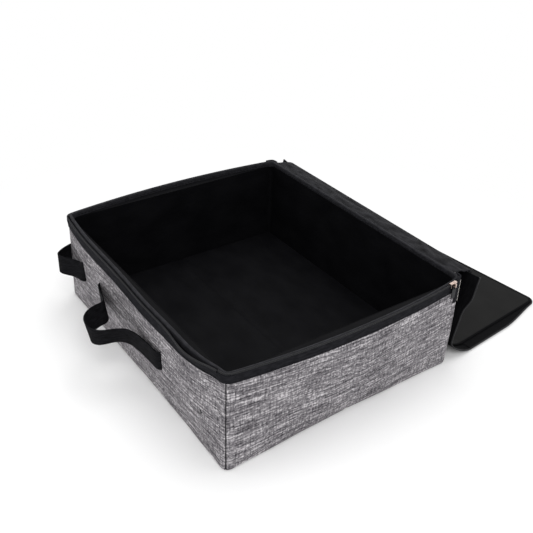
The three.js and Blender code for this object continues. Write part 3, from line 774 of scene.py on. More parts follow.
def wall_zip(wall):
    """A wall's zip: tape sewn to the cover's head, ledge between tape and liner, and toothed coil."""
    tall = tape_top - tape_foot

    def place_tape(u, v):
        along = wall.run * (2 * u - 1)
        up = tape_foot + tall * v
        over = max(0, (up - cover_top) / (tape_top - cover_top))
        slack = ripple(along * 18, v * 2, wall.turn + 9) * math.sin(math.pi * v)
        return on_wall(wall, along, up, tape_out(wall, along, over) + TAPE_OUT + slack * TAPE_SLACK)

    size = (2 * wall.run, tall)
    tape = lay_sheet(f"{wall.name}_zip_tape_cloth", 90, 8, place_tape, size, TAPE, TAPE_THICK)
    dress(tape, "black_tape", wall.body, [f"{wall.name}_zip_tape"])

    def place_ledge(u, v):
        along = wall.run * (2 * u - 1)
        under = bound_edge(wall, along, -inner_face + LEDGE_FAR, 0)
        near = on_wall(wall, along, 0, -inner_face + LEDGE_NEAR)
        spot = near.lerp(under, v)
        return Vector((spot.x, spot.y, LEDGE_UP))

    size = (2 * wall.run, wall.bulge)
    ledge = lay_sheet(f"{wall.name}_rim_ledge", 60, 6, place_ledge, size, LINER, LINER_THICK, flip=True)
    dress(ledge, "tray_liner", wall.body)

    teeth = 4 * round(2 * wall.run / COIL_PITCH)
    line = rim_line(wall, teeth, TAPE_MIDDLE, tape_top + COIL_RADIUS, 1)
    coil = sweep(f"{wall.name}_zip_coil_teeth", line, coil_round(), COIL, size=tooth)
    dress(coil, "zip_coil", wall.body, [f"{wall.name}_zip_coil"])
    row = [point for point, _, _ in rim_line(wall, 40, TAPE_STITCH_OUT, tape_foot + TAPE_STITCH_UP)]
    stitch_row(f"{wall.name}_zip_stitches", row, out_of(wall), BLACK_THREAD, "black_tape", wall.body)


# Corners stay on the base
CORNER_STEPS = 16
CORNER_ACROSS = CORNER_ROUND * 1.7
CRISP_FROM = 55 * MM
CRISP_REACH = 10.4 * MM
ROUND_REACH = 6.6 * MM
RIM_REACH = 8.6 * MM
FRONT_RIGHT_SOFTNESS = 0.3
CORNER_LINER_DOWN = 7 * MM

# The seam down each corner: its dent in the cloth, its cord and its two rows of stitches
SEAM_DENT = 0.9 * MM
SEAM_DENT_STEPS = 0.6
SEAM_IN = -0.5 * MM
SEAM_WANDER = 0.25 * MM
SEAM_CORD = round_section(0.9 * MM, 1.2 * MM, 0.4 * MM, 3)
SEAM_STITCH_ASIDE = 1.1 * MM
SEAM_STITCH_SUNK = 0.1 * MM

# The zip tape's end at a rear corner, and the tape on the corner's edge
ZIP_END = 34 * MM
ZIP_END_OUT = 0.7 * MM
ZIP_END_THICK = 0.6 * MM
PALE_STITCH = 0.7 * MM
PALE_STITCH_OUT = 0.9 * MM
PALE_STITCH_FROM = 2 * MM
PALE_STITCH_RUN = ZIP_END - 6 * MM
EDGE_TAPE = round_section(2.6 * MM, 4.4 * MM, 0.9 * MM)
EDGE_TAPE_IN = -0.4 * MM
EDGE_TAPE_DOWN = 0.8 * MM

# How far a corner's bound edge is sunk at its first and last step
SUNK = {"front_right": (RIM_DROP, RIM_DROP), "rear_right": (0, REAR_DROP)}

Corner = namedtuple("Corner", "name x y top flip cover_node lining_node")


def dress_corner(piece, slot, replaces=()):
    dress(piece, slot, "base", replaces, folds_with="long_walls_fold")


def corner_stitches(name, line, out, material, thread=THREAD):
    stitch_row(name, line, out, material, "black_tape", "base", "long_walls_fold", thread)


def corner_row(corner, out, up):
    """A corner's outline at a height: round at the foot, crisp towards the rim."""
    soft = FRONT_RIGHT_SOFTNESS if corner.name == "front_right" else 1
    soft *= max(0, 1 - up / CRISP_FROM)
    reach = CRISP_REACH + (ROUND_REACH - CRISP_REACH) * soft
    line = corner_line(corner.x, corner.y, CORNER_STEPS, out, up, reach, rise(right, up))
    return [(settle(point), way, high) for point, way, high in line]


def corner_cloths(corner):
    """A corner's cover with its seam drawn in, and its liner."""

    def place(u, v):
        out, up = bottom_profile(v, corner.top)
        n = round(u * CORNER_STEPS)
        point, way, _ = corner_row(corner, out, up)[n]
        return point - way * SEAM_DENT * mound(n, CORNER_STEPS // 2, SEAM_DENT_STEPS)

    size = (CORNER_ACROSS, corner.top + BOTTOM_ROUND)
    cover = lay_sheet(
        f"{corner.name}_corner_cloth", CORNER_STEPS, 40, place, size, HEATHER, COVER_THICK,
        flip=corner.flip,
    )
    dress_corner(cover, "grey_fabric", [corner.cover_node])

    inner = corner_line(corner.x, corner.y, CORNER_STEPS, -inner_face, 0, RIM_REACH)
    head = rim_top - CORNER_LINER_DOWN

    def place_liner(u, v):
        return inner[round(u * CORNER_STEPS)][0] + UP * (floor_top + (head - floor_top) * v)

    size = (CORNER_ROUND, head)
    liner = lay_sheet(
        f"{corner.name}_corner_liner", CORNER_STEPS, 20, place_liner, size, LINER, LINER_THICK,
        flip=not corner.flip,
    )
    dress_corner(liner, "tray_liner", [corner.lining_node])


def corner_binding(corner):
    """A corner's bound edge, sunk as the rim beside it is."""
    sunk, sinks_to = SUNK.get(corner.name, (0, 0))
    line = []
    edge = corner_line(corner.x, corner.y, CORNER_STEPS, BINDING_OUT, rim_top, RIM_REACH, 1.0)
    for n, (point, way, _) in enumerate(edge):
        drop = sunk + (sinks_to - sunk) * smooth_step(n, 0, CORNER_STEPS)
        line.append((point - UP * drop, way, UP))
    binding = sweep(f"{corner.name}_corner_binding", line, binding_section(), BINDING)
    dress_corner(binding, "black_tape")


def corner_seam(corner):
    """The cord down a corner's seam, with a row of stitches at each side of it."""
    edge_top = tape_foot if corner.y < 0 else corner.top
    heights = [BOTTOM_ROUND + (edge_top - BOTTOM_ROUND) * n / 30 for n in range(31)]
    seam = [corner_row(corner, SEAM_IN, up)[CORNER_STEPS // 2] for up in heights]
    across = UP.cross(seam[0][1])
    stations = [
        (point + across * SEAM_WANDER * ripple(0, corner.x, n), way, across)
        for n, (point, way, _) in enumerate(seam)
    ]
    dress_corner(sweep(f"{corner.name}_seam_cord", stations, SEAM_CORD, BLACK_THREAD), "black_tape")
    for turn, word in ((-1, "first"), (1, "second")):
        row = [point + across * turn * SEAM_STITCH_ASIDE - way * SEAM_STITCH_SUNK for point, way, _ in seam]
        corner_stitches(f"{corner.name}_seam_stitches_{word}", row, seam[0][1], BLACK_THREAD)


def corner_zip(corner):
    """The zip's bend round a front corner."""
    line = corner_line(corner.x, corner.y, CORNER_STEPS, 0, tape_foot, RIM_REACH, 1.0)
    tape = sweep(f"{corner.name}_corner_tape", line, tape_section(), TAPE)
    dress_corner(tape, "black_tape", [f"corner_zip_{corner.name}"])
    line = corner_line(corner.x, corner.y, 40, TAPE_MIDDLE, tape_top + COIL_RADIUS, RIM_REACH, 1.0)
    dress_corner(sweep(f"{corner.name}_corner_coil", line, coil_round(), COIL, size=tooth), "zip_coil")


def zip_end_tab(corner):
    """The zip tape's end, turned down over a rear corner and sewn with pale thread."""
    foot = corner.top - ZIP_END
    start = CORNER_STEPS * 3 // 8

    def place(u, v):
        n = CORNER_STEPS - round(u * (CORNER_STEPS - start))
        return corner_row(corner, ZIP_END_OUT, foot + ZIP_END * v)[n][0]

    size = (CORNER_ROUND, ZIP_END)
    tab = lay_sheet(
        f"{corner.name}_zip_end_tab", CORNER_STEPS - start, 10, place, size, TAPE, ZIP_END_THICK,
        flip=not corner.flip,
    )
    dress_corner(tab, "black_tape")
    heights = [foot + PALE_STITCH_FROM + PALE_STITCH_RUN * k / 8 for k in range(9)]
    for n, word in ((start + 1, "outer"), (start + 4, "inner")):
        row = [corner_row(corner, PALE_STITCH_OUT, up)[n] for up in heights]
        line = [point for point, _, _ in row]
        name = f"{corner.name}_zip_end_stitches_{word}"
        corner_stitches(name, line, row[0][1], PALE_THREAD, PALE_STITCH)


def edge_tape(corner):
    """The tape over the head of a rear corner's cloth."""
    line = corner_row(corner, EDGE_TAPE_IN, corner.top - EDGE_TAPE_DOWN)
    dress_corner(sweep(f"{corner.name}_edge_tape", line, EDGE_TAPE, TAPE), "black_tape")


def corner(end, side):
    """A corner of the tray: the front ones carry the zip's bend, the rear ones its turned-down end."""
    x = -1 if side == "left" else 1
    y = -1 if end == "front" else 1
    name = f"{end}_{side}"
    top = cover_top if end == "front" else rear_cover_top
    made = Corner(name, x, y, top, x * y > 0, f"corner_cover_{name}", f"corner_lining_{name}")
    corner_cloths(made)
    corner_binding(made)
    corner_seam(made)
    if end == "front":
        corner_zip(made)
    else:
        zip_end_tab(made)
        edge_tape(made)


# How the bottom and floor cloths lie
FLOOR_SLACK = 0.35 * MM
FLOOR_SLACK_SIDE = 20 * MM
FLOOR_FOLD = 0.9 * MM
FLOOR_FOLD_WIDE = 2.5 * MM


def base_cloth():
    """The bottom cloth, whose rounded outline meets the turned-under edges of the walls."""
    edge = BOTTOM_ROUND

    def place(u, v):
        x = (half_length - edge) * (2 * u - 1)
        y = (half_depth - edge) * (2 * v - 1)
        reach_x = half_length - CORNER_ROUND
        reach_y = half_depth - CORNER_ROUND
        over_x, over_y = max(0, abs(x) - reach_x), max(0, abs(y) - reach_y)
        far = math.hypot(over_x, over_y)
        limit = CORNER_ROUND - edge
        if far > limit:
            x = math.copysign(reach_x + over_x * limit / far, x)
            y = math.copysign(reach_y + over_y * limit / far, y)
        return settle(Vector((x, y, 0)))

    size = (2 * half_length, 2 * half_depth)
    made = lay_sheet("base_bottom_cloth", 60, 52, place, size, HEATHER, COVER_THICK, flip=True)
    dress(made, "grey_fabric", "base", ["base_cover"])


def floor_cloth():
    """The liner's floor, slightly slack, with the fold line between the two base boards."""
    reach_x, reach_y = half_length - inner_face, half_depth - inner_face

    def place(u, v):
        x, y = reach_x * (2 * u - 1), reach_y * (2 * v - 1)
        soft = FLOOR_SLACK * (1 + ripple(x * 9, y * 9, 2))
        inside = min(1, (reach_x - abs(x)) / FLOOR_SLACK_SIDE, (reach_y - abs(y)) / FLOOR_SLACK_SIDE)
        fold = FLOOR_FOLD * mound(y, 0, FLOOR_FOLD_WIDE)
        return Vector((x, y, floor_top + soft * max(0, inside) - fold))

    size = (2 * reach_x, 2 * reach_y)
    made = lay_sheet("floor_liner_cloth", 70, 120, place, size, LINER, LINER_THICK)
    dress(made, "tray_liner", "base", ["floor_liner"])


# Webbing
WEBBING_WIDE = 28 * MM
WEBBING_THICK = 1.6 * MM
WEBBING_RIBS = 9
WEBBING_EDGE = 0.5 * MM
RIB_DEPTH = 0.14 * MM
STRAP_UP = 70 * MM
HANDLE_FAR = -84 * MM
HANDLE_NEAR = 79.5 * MM
LOOP_START = -140 * MM
SLIT_LEAN = 5
SLIT_CLEAR = 0.9 * MM
SLIT_BEHIND = 14 * MM
SLIT_INSIDE = 3 * MM
SLIT_OUTSIDE = 1 * MM
SLIT_SLOPE = 0.3 * MM
BEHIND_COVER = -0.3 * inner_face
LOOP_TUCK = 10 * MM
HANDLE_TURNS_FROM = 15 * MM
HANDLE_TURNS_OVER = 14 * MM
LEAN_UNIT = 0.1 * MM

# Millimetres along the wall and out from its plane, and the lean of the strap's top edge in degrees
HANDLE_LINE = (
    (-66, 13.5, 5), (-54, 15.5, 6), (-45.5, 18.5, 10), (-41, 24, 18), (-39.5, 31, 20), (-36, 40, 20),
    (-30, 48, 16), (-20, 54, 12), (-8, 55.5, 10), (1, 51, 14), (5.5, 43, 18), (8, 34, 20), (12, 26, 20),
    (20, 19.5, 14), (34, 15.8, 8), (56, 13.8, 5),
)
LOOP_LINE = (
    (-149, 9, 4), (-158, 13, 0), (-166, 18.5, 0), (-174, 23, 0), (-181, 23, 0), (-188, 16, 0),
    (-193, 7, 0), (-196, -2, 0),
)


def smooth_line(points, steps):
    """Points at even steps along a centripetal Catmull-Rom curve through the given ones."""
    ends = [points[0] * 2 - points[1], *points, points[-1] * 2 - points[-2]]
    dense = []
    for a, b, c, d in zip(ends, ends[1:], ends[2:], ends[3:]):
        t1 = (b - a).length ** 0.5
        t2 = t1 + (c - b).length ** 0.5
        t3 = t2 + (d - c).length ** 0.5
        for n in range(24):
            t = t1 + (t2 - t1) * n / 24
            a1 = a * ((t1 - t) / t1) + b * (t / t1)
            a2 = b * ((t2 - t) / (t2 - t1)) + c * ((t - t1) / (t2 - t1))
            a3 = c * ((t3 - t) / (t3 - t2)) + d * ((t - t2) / (t3 - t2))
            b1 = a1 * ((t2 - t) / t2) + a2 * (t / t2)
            b2 = a2 * ((t3 - t) / (t3 - t1)) + a3 * ((t - t1) / (t3 - t1))
            dense.append(b1 * ((t2 - t) / (t2 - t1)) + b2 * ((t - t1) / (t2 - t1)))
    dense.append(points[-1])
    lengths = [0]
    for p, q in zip(dense, dense[1:]):
        lengths.append(lengths[-1] + (q - p).length)
    line = []
    n = 0
    for k in range(steps + 1):
        want = lengths[-1] * k / steps
        while n < len(lengths) - 2 and lengths[n + 1] < want:
            n += 1
        span = lengths[n + 1] - lengths[n]
        line.append(dense[n].lerp(dense[n + 1], (want - lengths[n]) / span))
    return line


def webbing_section():
    """Webbing in section: shallow lengthwise ribs on both faces and firm round edges."""
    half, thick = WEBBING_WIDE / 2, WEBBING_THICK / 2
    face = []
    for n in range(4 * WEBBING_RIBS + 1):
        up = -half + WEBBING_EDGE + 2 * (half - WEBBING_EDGE) * n / (4 * WEBBING_RIBS)
        face.append((thick - RIB_DEPTH * (1 - math.cos(2 * math.pi * n / 4)) / 2, up))
    back = [(-across, up) for across, up in reversed(face)]
    tip = 0.3 * thick
    return [(tip, -half), *face, (tip, half), (-tip, half), *back, (-tip, -half)]


def strap_point(along, up, out, lean=0):
    """A point of a strap's middle line; its fourth number carries the strap's lean in degrees."""
    return Vector((*on_wall(front, along, up, out), lean * LEAN_UNIT))


def strap(name, points, steps):
    """Webbing along a smooth line through strap points, leaning as they say."""
    line = smooth_line(points, steps)
    stations = []
    for n, point in enumerate(line):
        ahead = line[min(n + 1, steps)] - line[max(n - 1, 0)]
        across = Vector((ahead.y, -ahead.x, 0)).normalized()
        lean = math.radians(point.w / LEAN_UNIT)
        out_way = across * math.cos(lean) - UP * math.sin(lean)
        up_way = UP * math.cos(lean) + across * math.sin(lean)
        stations.append((point.to_3d(), out_way, up_way))
    return sweep(name, stations, webbing_section(), WEBBING)


def clear_of_cover(along, up):
    """How far out a strap's middle lies where its back just clears the cover."""
    return bow(front, along) * rise(front, up + WEBBING_WIDE / 2) + WEBBING_THICK / 2 + SLIT_CLEAR


def strap_end(slit, toward):
    """A strap's sewn end, from behind the cover out through its slit."""
    places = (
        (slit + toward * SLIT_BEHIND, BEHIND_COVER),
        (slit + toward * SLIT_INSIDE, BEHIND_COVER + SLIT_SLOPE),
        (slit - toward * SLIT_OUTSIDE, clear_of_cover(slit, STRAP_UP)),
    )
    return [strap_point(along, STRAP_UP, out, SLIT_LEAN) for along, out in places]


def carry_handle():
    """The carry handle, bowed out between its two slits."""
    bend = [strap_point(along * MM, STRAP_UP, out * MM, lean) for along, out, lean in HANDLE_LINE]
    points = strap_end(HANDLE_FAR, -1) + bend + strap_end(HANDLE_NEAR, 1)[::-1]
    made = strap("carry_handle_webbing", points, 170)
    near = -half_depth - HANDLE_TURNS_FROM
    ends = (0, near, STRAP_UP), (0, near - HANDLE_TURNS_OVER, STRAP_UP)
    nodes = ["carry_handle", "handle_anchor_left", "handle_anchor_right"]
    dress(made, "webbing", over=("front_wall", "carry_handle", *ends), replaces=nodes)


def corner_loop():
    """The webbing loop across the front left corner, sewn in at its slit and at the corner's seam."""
    bend = [strap_point(along * MM, STRAP_UP, out * MM, lean) for along, out, lean in LOOP_LINE]
    seam = strap_point(-half_length + LOOP_TUCK, STRAP_UP, -LOOP_TUCK)
    made = strap("corner_loop_webbing", strap_end(LOOP_START, 1) + bend + [seam], 90)
    dress(made, "webbing", "base", ["corner_loop", "corner_loop_anchor"], folds_with="long_walls_fold")


# Fittings
SLIDER_ROUND = 0.25 * MM
PULL_ROUND = 0.3 * MM


def lathe(name, profile, centre, axis, material, steps=40):
    """Turns a profile of (radius, height) points about an axis through a centre."""
    turn = Vector((0, 0, 1)).rotation_difference(Vector(axis)).to_matrix()
    points = []
    for radius, height in profile:
        for k in range(steps):
            angle = 2 * math.pi * k / steps
            spot = Vector((radius * math.cos(angle), radius * math.sin(angle), height))
            points.append(centre + turn @ spot)
    faces = []
    for n in range(len(profile) - 1):
        for k in range(steps):
            p, q = n * steps + k, n * steps + (k + 1) % steps
            faces.append((p, q, q + steps, p + steps))
    faces.append(tuple(range(steps - 1, -1, -1)))
    last = (len(profile) - 1) * steps
    faces.append(tuple(last + k for k in range(steps)))
    return mesh_object(name, points, faces, [(p.x, p.z) for p in points], material)


def snap_cap():
    """The snap's cap: a rolled rim round a dished middle, from the size of its node."""
    low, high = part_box("snap_cap")
    centre = Vector(((low.x + high.x) / 2, high.y, (low.z + high.z) / 2))
    radius, dome = (high.x - low.x) / 2, high.y - low.y
    shares = (
        (0.6, 0), (1, 0), (1.0, 0.25), (0.96, 0.55), (0.86, 0.85), (0.72, 1.0), (0.58, 0.92),
        (0.46, 0.62), (0.3, 0.5), (0.12, 0.46), (0.03, 0.45),
    )
    profile = [(across * radius, out * dome) for across, out in shares]
    made = lathe("snap_cap_dome", profile, centre, (0, -1, 0), SNAP_METAL)
    dress(made, "snap_metal", "front_wall", ["snap_cap"])


def fitting(node, material, width):
    """A metal fitting: the frame's own shape, with its edges rounded as a casting's are."""
    piece = frame["nodes"][node]
    piece.data.materials.clear()
    piece.data.materials.append(material)
    rounding = piece.modifiers.new("edge round", "BEVEL")
    rounding.width = width
    rounding.segments = 2
    rounding.limit_method = "ANGLE"
    rounding.harden_normals = False


# Lid
def lid_place(turn, yaw, origin):
    """A lid part's own frame: turned on its cross line, then yawed, at its start."""
    return Matrix.Translation(origin) @ Matrix.Rotation(yaw, 4, "Z") @ Matrix.Rotation(turn, 4, "X")


strip_y, strip_z = joints["lid_close"]["pos_m"][1:]
upper_y, upper_z = joints["lid_upper_fold"]["pos_m"][1:]
lower_start = Vector((-LOWER_SHIFT, half_depth + LOWER_STAND_OFF, LID_THICK + LID_GAP))
strip_place = lid_place(-math.pi - STRIP_DROOP, 0, Vector((0, strip_y, strip_z)))
upper_place = lid_place(-1.5 * math.pi - UPPER_LEAN, 0, Vector((0, upper_y, upper_z)))
lower_place = lid_place(math.pi, LOWER_YAW, lower_start)
LID_PLACES = {"strip": strip_place, "upper": upper_place, "lower": lower_place}

# The upper panel's cloths start a little below the hinge strip
UPPER_START = 2.2 * MM

# The crease: how far it stays off the rear wall, and where it turns from one panel to the other
CREASE_CLEAR = 4.4 * MM
CREASE_TURN = 20 * MM
CREASE_SOFT = 1.2 * MM
CREASE_COVER_LIFT = 2.6 * MM
CREASE_HEM_LIFT = 1.7 * MM

# The panels' cloths: their height off the lid's inner face, the ridge over each board's edge and
# the unevenness between
LINING_LIFT = 0.5 * MM
COVER_LIFT = LID_THICK + 0.1 * MM
BOARD_RIDGE = 0.35 * MM
BOARD_RIDGE_IN = 5 * MM
BOARD_RIDGE_WIDE = 1.6 * MM
PANEL_SOFT = 0.25 * MM
PANEL_SOFT_SIDE = 20 * MM
ROWS_CROWD = 1.6

# The lid's half of the zip. Past each part's edge its tape stands out by the first width, which
# changes by the second from one place down the part to another.
LOOSE_TAPE = {
    "upper": (11.5 * MM, -7 * MM, 28 * MM, 54 * MM),
    "crease": (4.5 * MM, 5.5 * MM, 0, LID_CREASE),
    "lower": (10 * MM, -12 * MM, 75 * MM, LID_LOWER + 4 * MM),
}
TAPE_LIFT = {"upper": 2.6 * MM, "crease": 2.75 * MM, "lower": 2.75 * MM}
TAPE_STAND = {"upper": 3.2 * MM, "crease": 0.2 * MM, "lower": 0.2 * MM}
LID_TAPE_THICK = 0.8 * MM
LID_TAPE_WIDE = 20 * MM
UPPER_TAPE_IN = 20 * MM
CREASE_TAPE_IN = 9 * MM
LOWER_TAPE_IN = 1 * MM
LID_BEAD = round_section(4.0 * MM, LID_THICK + 0.4 * MM, 1.6 * MM)
CREASE_BEAD = round_section(4.0 * MM, 3.4 * MM, 1.5 * MM)

# The hinge strip's cloth
STRIP_LIFT = 0.9 * MM
STRIP_CRUMPLE = 2.2 * MM
STRIP_SAG = -1.2 * MM
STRIP_TUCK = 2 * MM
STRIP_THICK = 1.4 * MM
STRIP_TURN = 8 * MM


def crease_point(x, share, lift):
    """A point of the soft crease, which hangs from the upper panel and runs out on the floor."""
    top = upper_place @ Vector((x, -LID_UPPER, lift))
    hang = upper_place @ Vector((x, -LID_UPPER - LID_CREASE / 3, lift))
    run = lower_place @ Vector((x, LID_CREASE / 4, lift))
    end = lower_place @ Vector((x, 0, lift))
    hang.z = max(hang.z, end.z)
    hang.y = max(hang.y, half_depth + LID_THICK + LID_GAP - lift)
    run.y = max(run.y, half_depth + CREASE_CLEAR - lift)
    t = share
    return top * (1 - t) ** 3 + hang * 3 * t * (1 - t) ** 2 + run * 3 * t * t * (1 - t) + end * t ** 3


def crease_span():
    """The crease's span: the upper and lower panels, and two points on the floor line, the first above it.
    """
    floor_line = Vector((0, half_depth, LID_THICK))
    return "lid_upper", "lid_lower", tuple(floor_line + UP * CREASE_TURN), tuple(floor_line)


def lid_point(part, x, run, lift):
    """A point on one part of the lid: across it, down it from its own start, and off its lining."""
    if part == "crease":
        return crease_point(x, run / LID_CREASE, lift)
    return LID_PLACES[part] @ Vector((x, -run, lift))


def lid_outline(run, length, inset):
    """Half the lower panel's width at a distance down it, less an inset: its corners are round."""
    half = LID_HALF - inset
    radius = LID_CORNER - inset
    into = run - (length - inset - radius)
    if into <= 0:
        return half
    return half - radius + math.sqrt(max(0, radius ** 2 - min(into, radius) ** 2))


def lid_faces(part):
    """A panel's lining and cover, each drawn over the board's edge and a little uneven between."""
    lower = part == "lower"
    start, length = (0, LID_LOWER) if lower else (UPPER_START, LID_UPPER)
    far = length - (LID_INSET if lower else 0)

    def place(lift, crown):
        def point(u, v):
            # On the lower panel the rows crowd towards the far edge, whose corners are round
            run = start + (far - start) * (1 - (1 - v) ** ROWS_CROWD if lower else v)
            half = lid_outline(run, length, LID_INSET) if lower else LID_HALF - LID_INSET
            x = half * (2 * u - 1)
            edge = min(half - abs(x), far - run if lower else LID_HEM * 4)
            ridge = BOARD_RIDGE * mound(edge, BOARD_RIDGE_IN, BOARD_RIDGE_WIDE)
            soft = PANEL_SOFT * ripple(x * 8, run * 12, lift * 900) * min(1, edge / PANEL_SOFT_SIDE)
            return lid_point(part, x, run, lift + crown * (soft + ridge))
        return point

    size = (2 * (LID_HALF - LID_INSET), far - start)
    lining = lay_sheet(
        f"lid_{part}_lining_cloth", 84, 44, place(LINING_LIFT, 1), size, LID_LINING, LID_LINING_THICK,
    )
    cover = lay_sheet(
        f"lid_{part}_cover_cloth", 84, 44, place(COVER_LIFT, -1), size, HEATHER, COVER_THICK, flip=True,
    )
    for sheet, slot, node in ((lining, "lid_lining", "lining"), (cover, "grey_fabric", "cover")):
        dress(sheet, slot, f"lid_{part}", [f"lid_{part}_{node}"])


def lid_crease():
    """The soft crease between the panels, lined inside and covered outside."""
    half = LID_HALF - LID_INSET
    size = (2 * half, LID_CREASE)

    def place(lift):
        def point(u, v):
            x = half * (2 * u - 1)
            soft = CREASE_SOFT * ripple(x * 10, v * 2, 5) * math.sin(math.pi * v)
            return crease_point(x, v, lift + soft)
        return point

    over = crease_span()
    lining = lay_sheet(
        "lid_crease_lining_cloth", 70, 30, place(LINING_LIFT), size, LID_LINING, LID_LINING_THICK,
    )
    cover = lay_sheet(
        "lid_crease_cover_cloth", 70, 30, place(CREASE_COVER_LIFT), size, HEATHER, COVER_THICK, flip=True,
    )
    dress(lining, "lid_lining", over=over, replaces=["lid_crease_fabric"])
    dress(cover, "grey_fabric", over=over)


def lower_edge(inset):
    """Places round the lower panel's free edge as (across, down), each with its outward way."""
    half, radius = LID_HALF - inset, LID_CORNER - inset
    far = LID_LOWER - inset
    plan = [(-half, n * (far - radius) / 20, -1, 0) for n in range(20)]
    for side, start in ((-1, 180), (1, 90)):
        for n in range(9):
            turn = math.radians(start - 90 * n / 8)
            x, y = math.cos(turn), math.sin(turn)
            plan.append((side * (half - radius) + radius * x, far - radius + radius * y, x, y))
        if side < 0:
            plan += [((half - radius) * (2 * n / 30 - 1), far, 0, 1) for n in range(1, 30)]
    plan += [(half, (1 - n / 20) * (far - radius), 1, 0) for n in range(1, 21)]
    return plan


def lid_edges(part, inset, lift):
    """Lines of stations along a lid part's free edges: its two sides, or all round the lower panel."""
    half = LID_HALF - inset
    if part == "lower":
        plans = [lower_edge(inset)]
    else:
        start, length = (UPPER_START, LID_UPPER) if part == "upper" else (0, LID_CREASE)
        runs = [start + (length - start) * n / 12 for n in range(13)]
        plans = [[(side * half, run, side, 0) for run in runs] for side in (-1, 1)]
    lines = []
    for plan in plans:
        line = []
        for x, run, way_x, way_run in plan:
            point = lid_point(part, x, run, lift)
            out_way = lid_point(part, x + way_x * MM, run + way_run * MM, lift) - point
            off_way = lid_point(part, x, run, lift + MM) - point
            line.append((point, out_way.normalized(), off_way.normalized()))
        lines.append(line)
    return lines


def loose_tape(part, run):
    """How far the lid's half of the zip tape stands out past the panel, at a distance down it."""
    width, change, low, high = LOOSE_TAPE[part]
    return width + change * smooth_step(run, low, high)


def tape_reach(part, run):
    """How far the tape reaches in over the cover cloth, at a distance down the part."""
    if part == "upper":
        return UPPER_TAPE_IN - (UPPER_TAPE_IN - CREASE_TAPE_IN) * run / LID_UPPER
    return CREASE_TAPE_IN if part == "crease" else LOWER_TAPE_IN


def lid_tape(part, side, stations, where, replaces):
    """The lid's zip tape along one edge, with its coil; it reaches in over the cover cloth."""
    count = len(stations) - 1
    runs = [0]
    for (a, _, _), (b, _, _) in zip(stations, stations[1:]):
        runs.append(runs[-1] + (b - a).length)
    tape_run = runs[-1]
    if part == "lower":
        runs = [min(LID_LOWER, run, runs[-1] - run) for run in runs]
        tape_run = 4 * LID_LOWER

    def place(u, v):
        n = round(u * count)
        point, out_way, off_way = stations[n]
        outer = LID_INSET + loose_tape(part, runs[n])
        across = outer * v - tape_reach(part, runs[n]) * (1 - v)
        return point + out_way * across + off_way * TAPE_STAND[part] * (1 - smooth_step(across, 0, outer))

    size = (tape_run, LID_TAPE_WIDE)
    # The lid's tape takes the near-black tape, darker than the walls' half of the zip: painted shade
    tape = lay_sheet(
        f"lid_{part}_zip_tape_{side}", count, 8, place, size, SHADED_HEM, LID_TAPE_THICK, flip=True,
    )
    dress(tape, "black_tape", replaces=replaces, **where)

    edge = [place(n / count, 1) for n in range(count + 1)]
    length = sum((b - a).length for a, b in zip(edge, edge[1:]))
    steps = 2 * round(length / COIL_PITCH)
    line = smooth_line(edge, steps)
    turns = []
    for n, point in enumerate(line):
        ahead = (line[min(n + 1, steps)] - line[max(n - 1, 0)]).normalized()
        off_way = stations[round(n / steps * count)][2]
        turns.append((point, ahead.cross(off_way).normalized(), off_way))
    coil = sweep(f"lid_{part}_coil_{side}", turns, coil_round(), COIL, size=lid_tooth)
    dress(coil, "zip_coil", **where)


def lid_hems():
    """The lid's bound edge with its half of the zip, round the upper panel, the crease and the lower."""
    middle = LID_GAP + LID_THICK / 2
    both = ("left", "right")
    # Part, its edges, what it follows, the bead's section and height, and the nodes it stands for
    rows = (
        ("upper", both, {"body": "lid_upper"}, LID_BEAD, middle, "lid_upper_{}_{}"),
        ("crease", both, {"over": crease_span()}, CREASE_BEAD, CREASE_HEM_LIFT, None),
        ("lower", ("edge",), {"body": "lid_lower"}, LID_BEAD, middle, "lid_lower_{}"),
    )
    for part, sides, where, bead, hem_lift, nodes in rows:
        for index, side in enumerate(sides):
            bindings, zips = ([nodes.format(kind, side)] if nodes else [] for kind in ("binding", "zip"))
            edge = lid_edges(part, LID_INSET, hem_lift)[index]
            # The hem's near-black colour is partly painted shade
            hem = sweep(f"lid_{part}_hem_{side}", edge, bead, SHADED_HEM)
            dress(hem, "black_tape", replaces=bindings, **where)
            edge = lid_edges(part, LID_INSET, TAPE_LIFT[part])[index]
            lid_tape(part, side, edge, where, zips)


def hinge_strip():
    """The soft, crumpled strip between the rear rim and the upper panel."""
    half = LID_HALF - LID_HEM
    size = (2 * half, LID_STRIP)

    def place(u, v):
        x = half * (2 * u - 1)
        soft = (STRIP_CRUMPLE * ripple(x * 34, v * 2.5, 8) + STRIP_SAG) * math.sin(math.pi * v)
        return lid_point("strip", x, LID_STRIP * v - STRIP_TUCK * (1 - v), STRIP_LIFT + soft)

    made = lay_sheet("lid_hinge_strip_cloth", 120, 14, place, size, HINGE, STRIP_THICK)
    near, far = lid_point("strip", 0, 0, 0), lid_point("strip", 0, STRIP_TURN, 0)
    over = ("rear_wall", "lid_strip", tuple(near), tuple(far))
    dress(made, "lid_lining", over=over, replaces=["lid_hinge_strip"])


# Camera, fitted to the photograph's rim and foot corners, and studio
CAMERA_PLACE = (0.72337, -0.5030, 0.63983)
CAMERA_AZIMUTH = math.radians(54.08)
CAMERA_ELEVATION = math.radians(31.718)
CAMERA_ROLL = math.radians(2.05)
LENS_MM = 54.01
SENSOR_MM = 36
LAMPS_LOOK_AT = (0, 0, 0.05)
WORLD_LIGHT = 0.55
FLOOR_REACH = 30
FLOOR_BELOW = 0.2 * MM
WHITE_FROM = 0.26
WHITE_BEYOND = 0.6


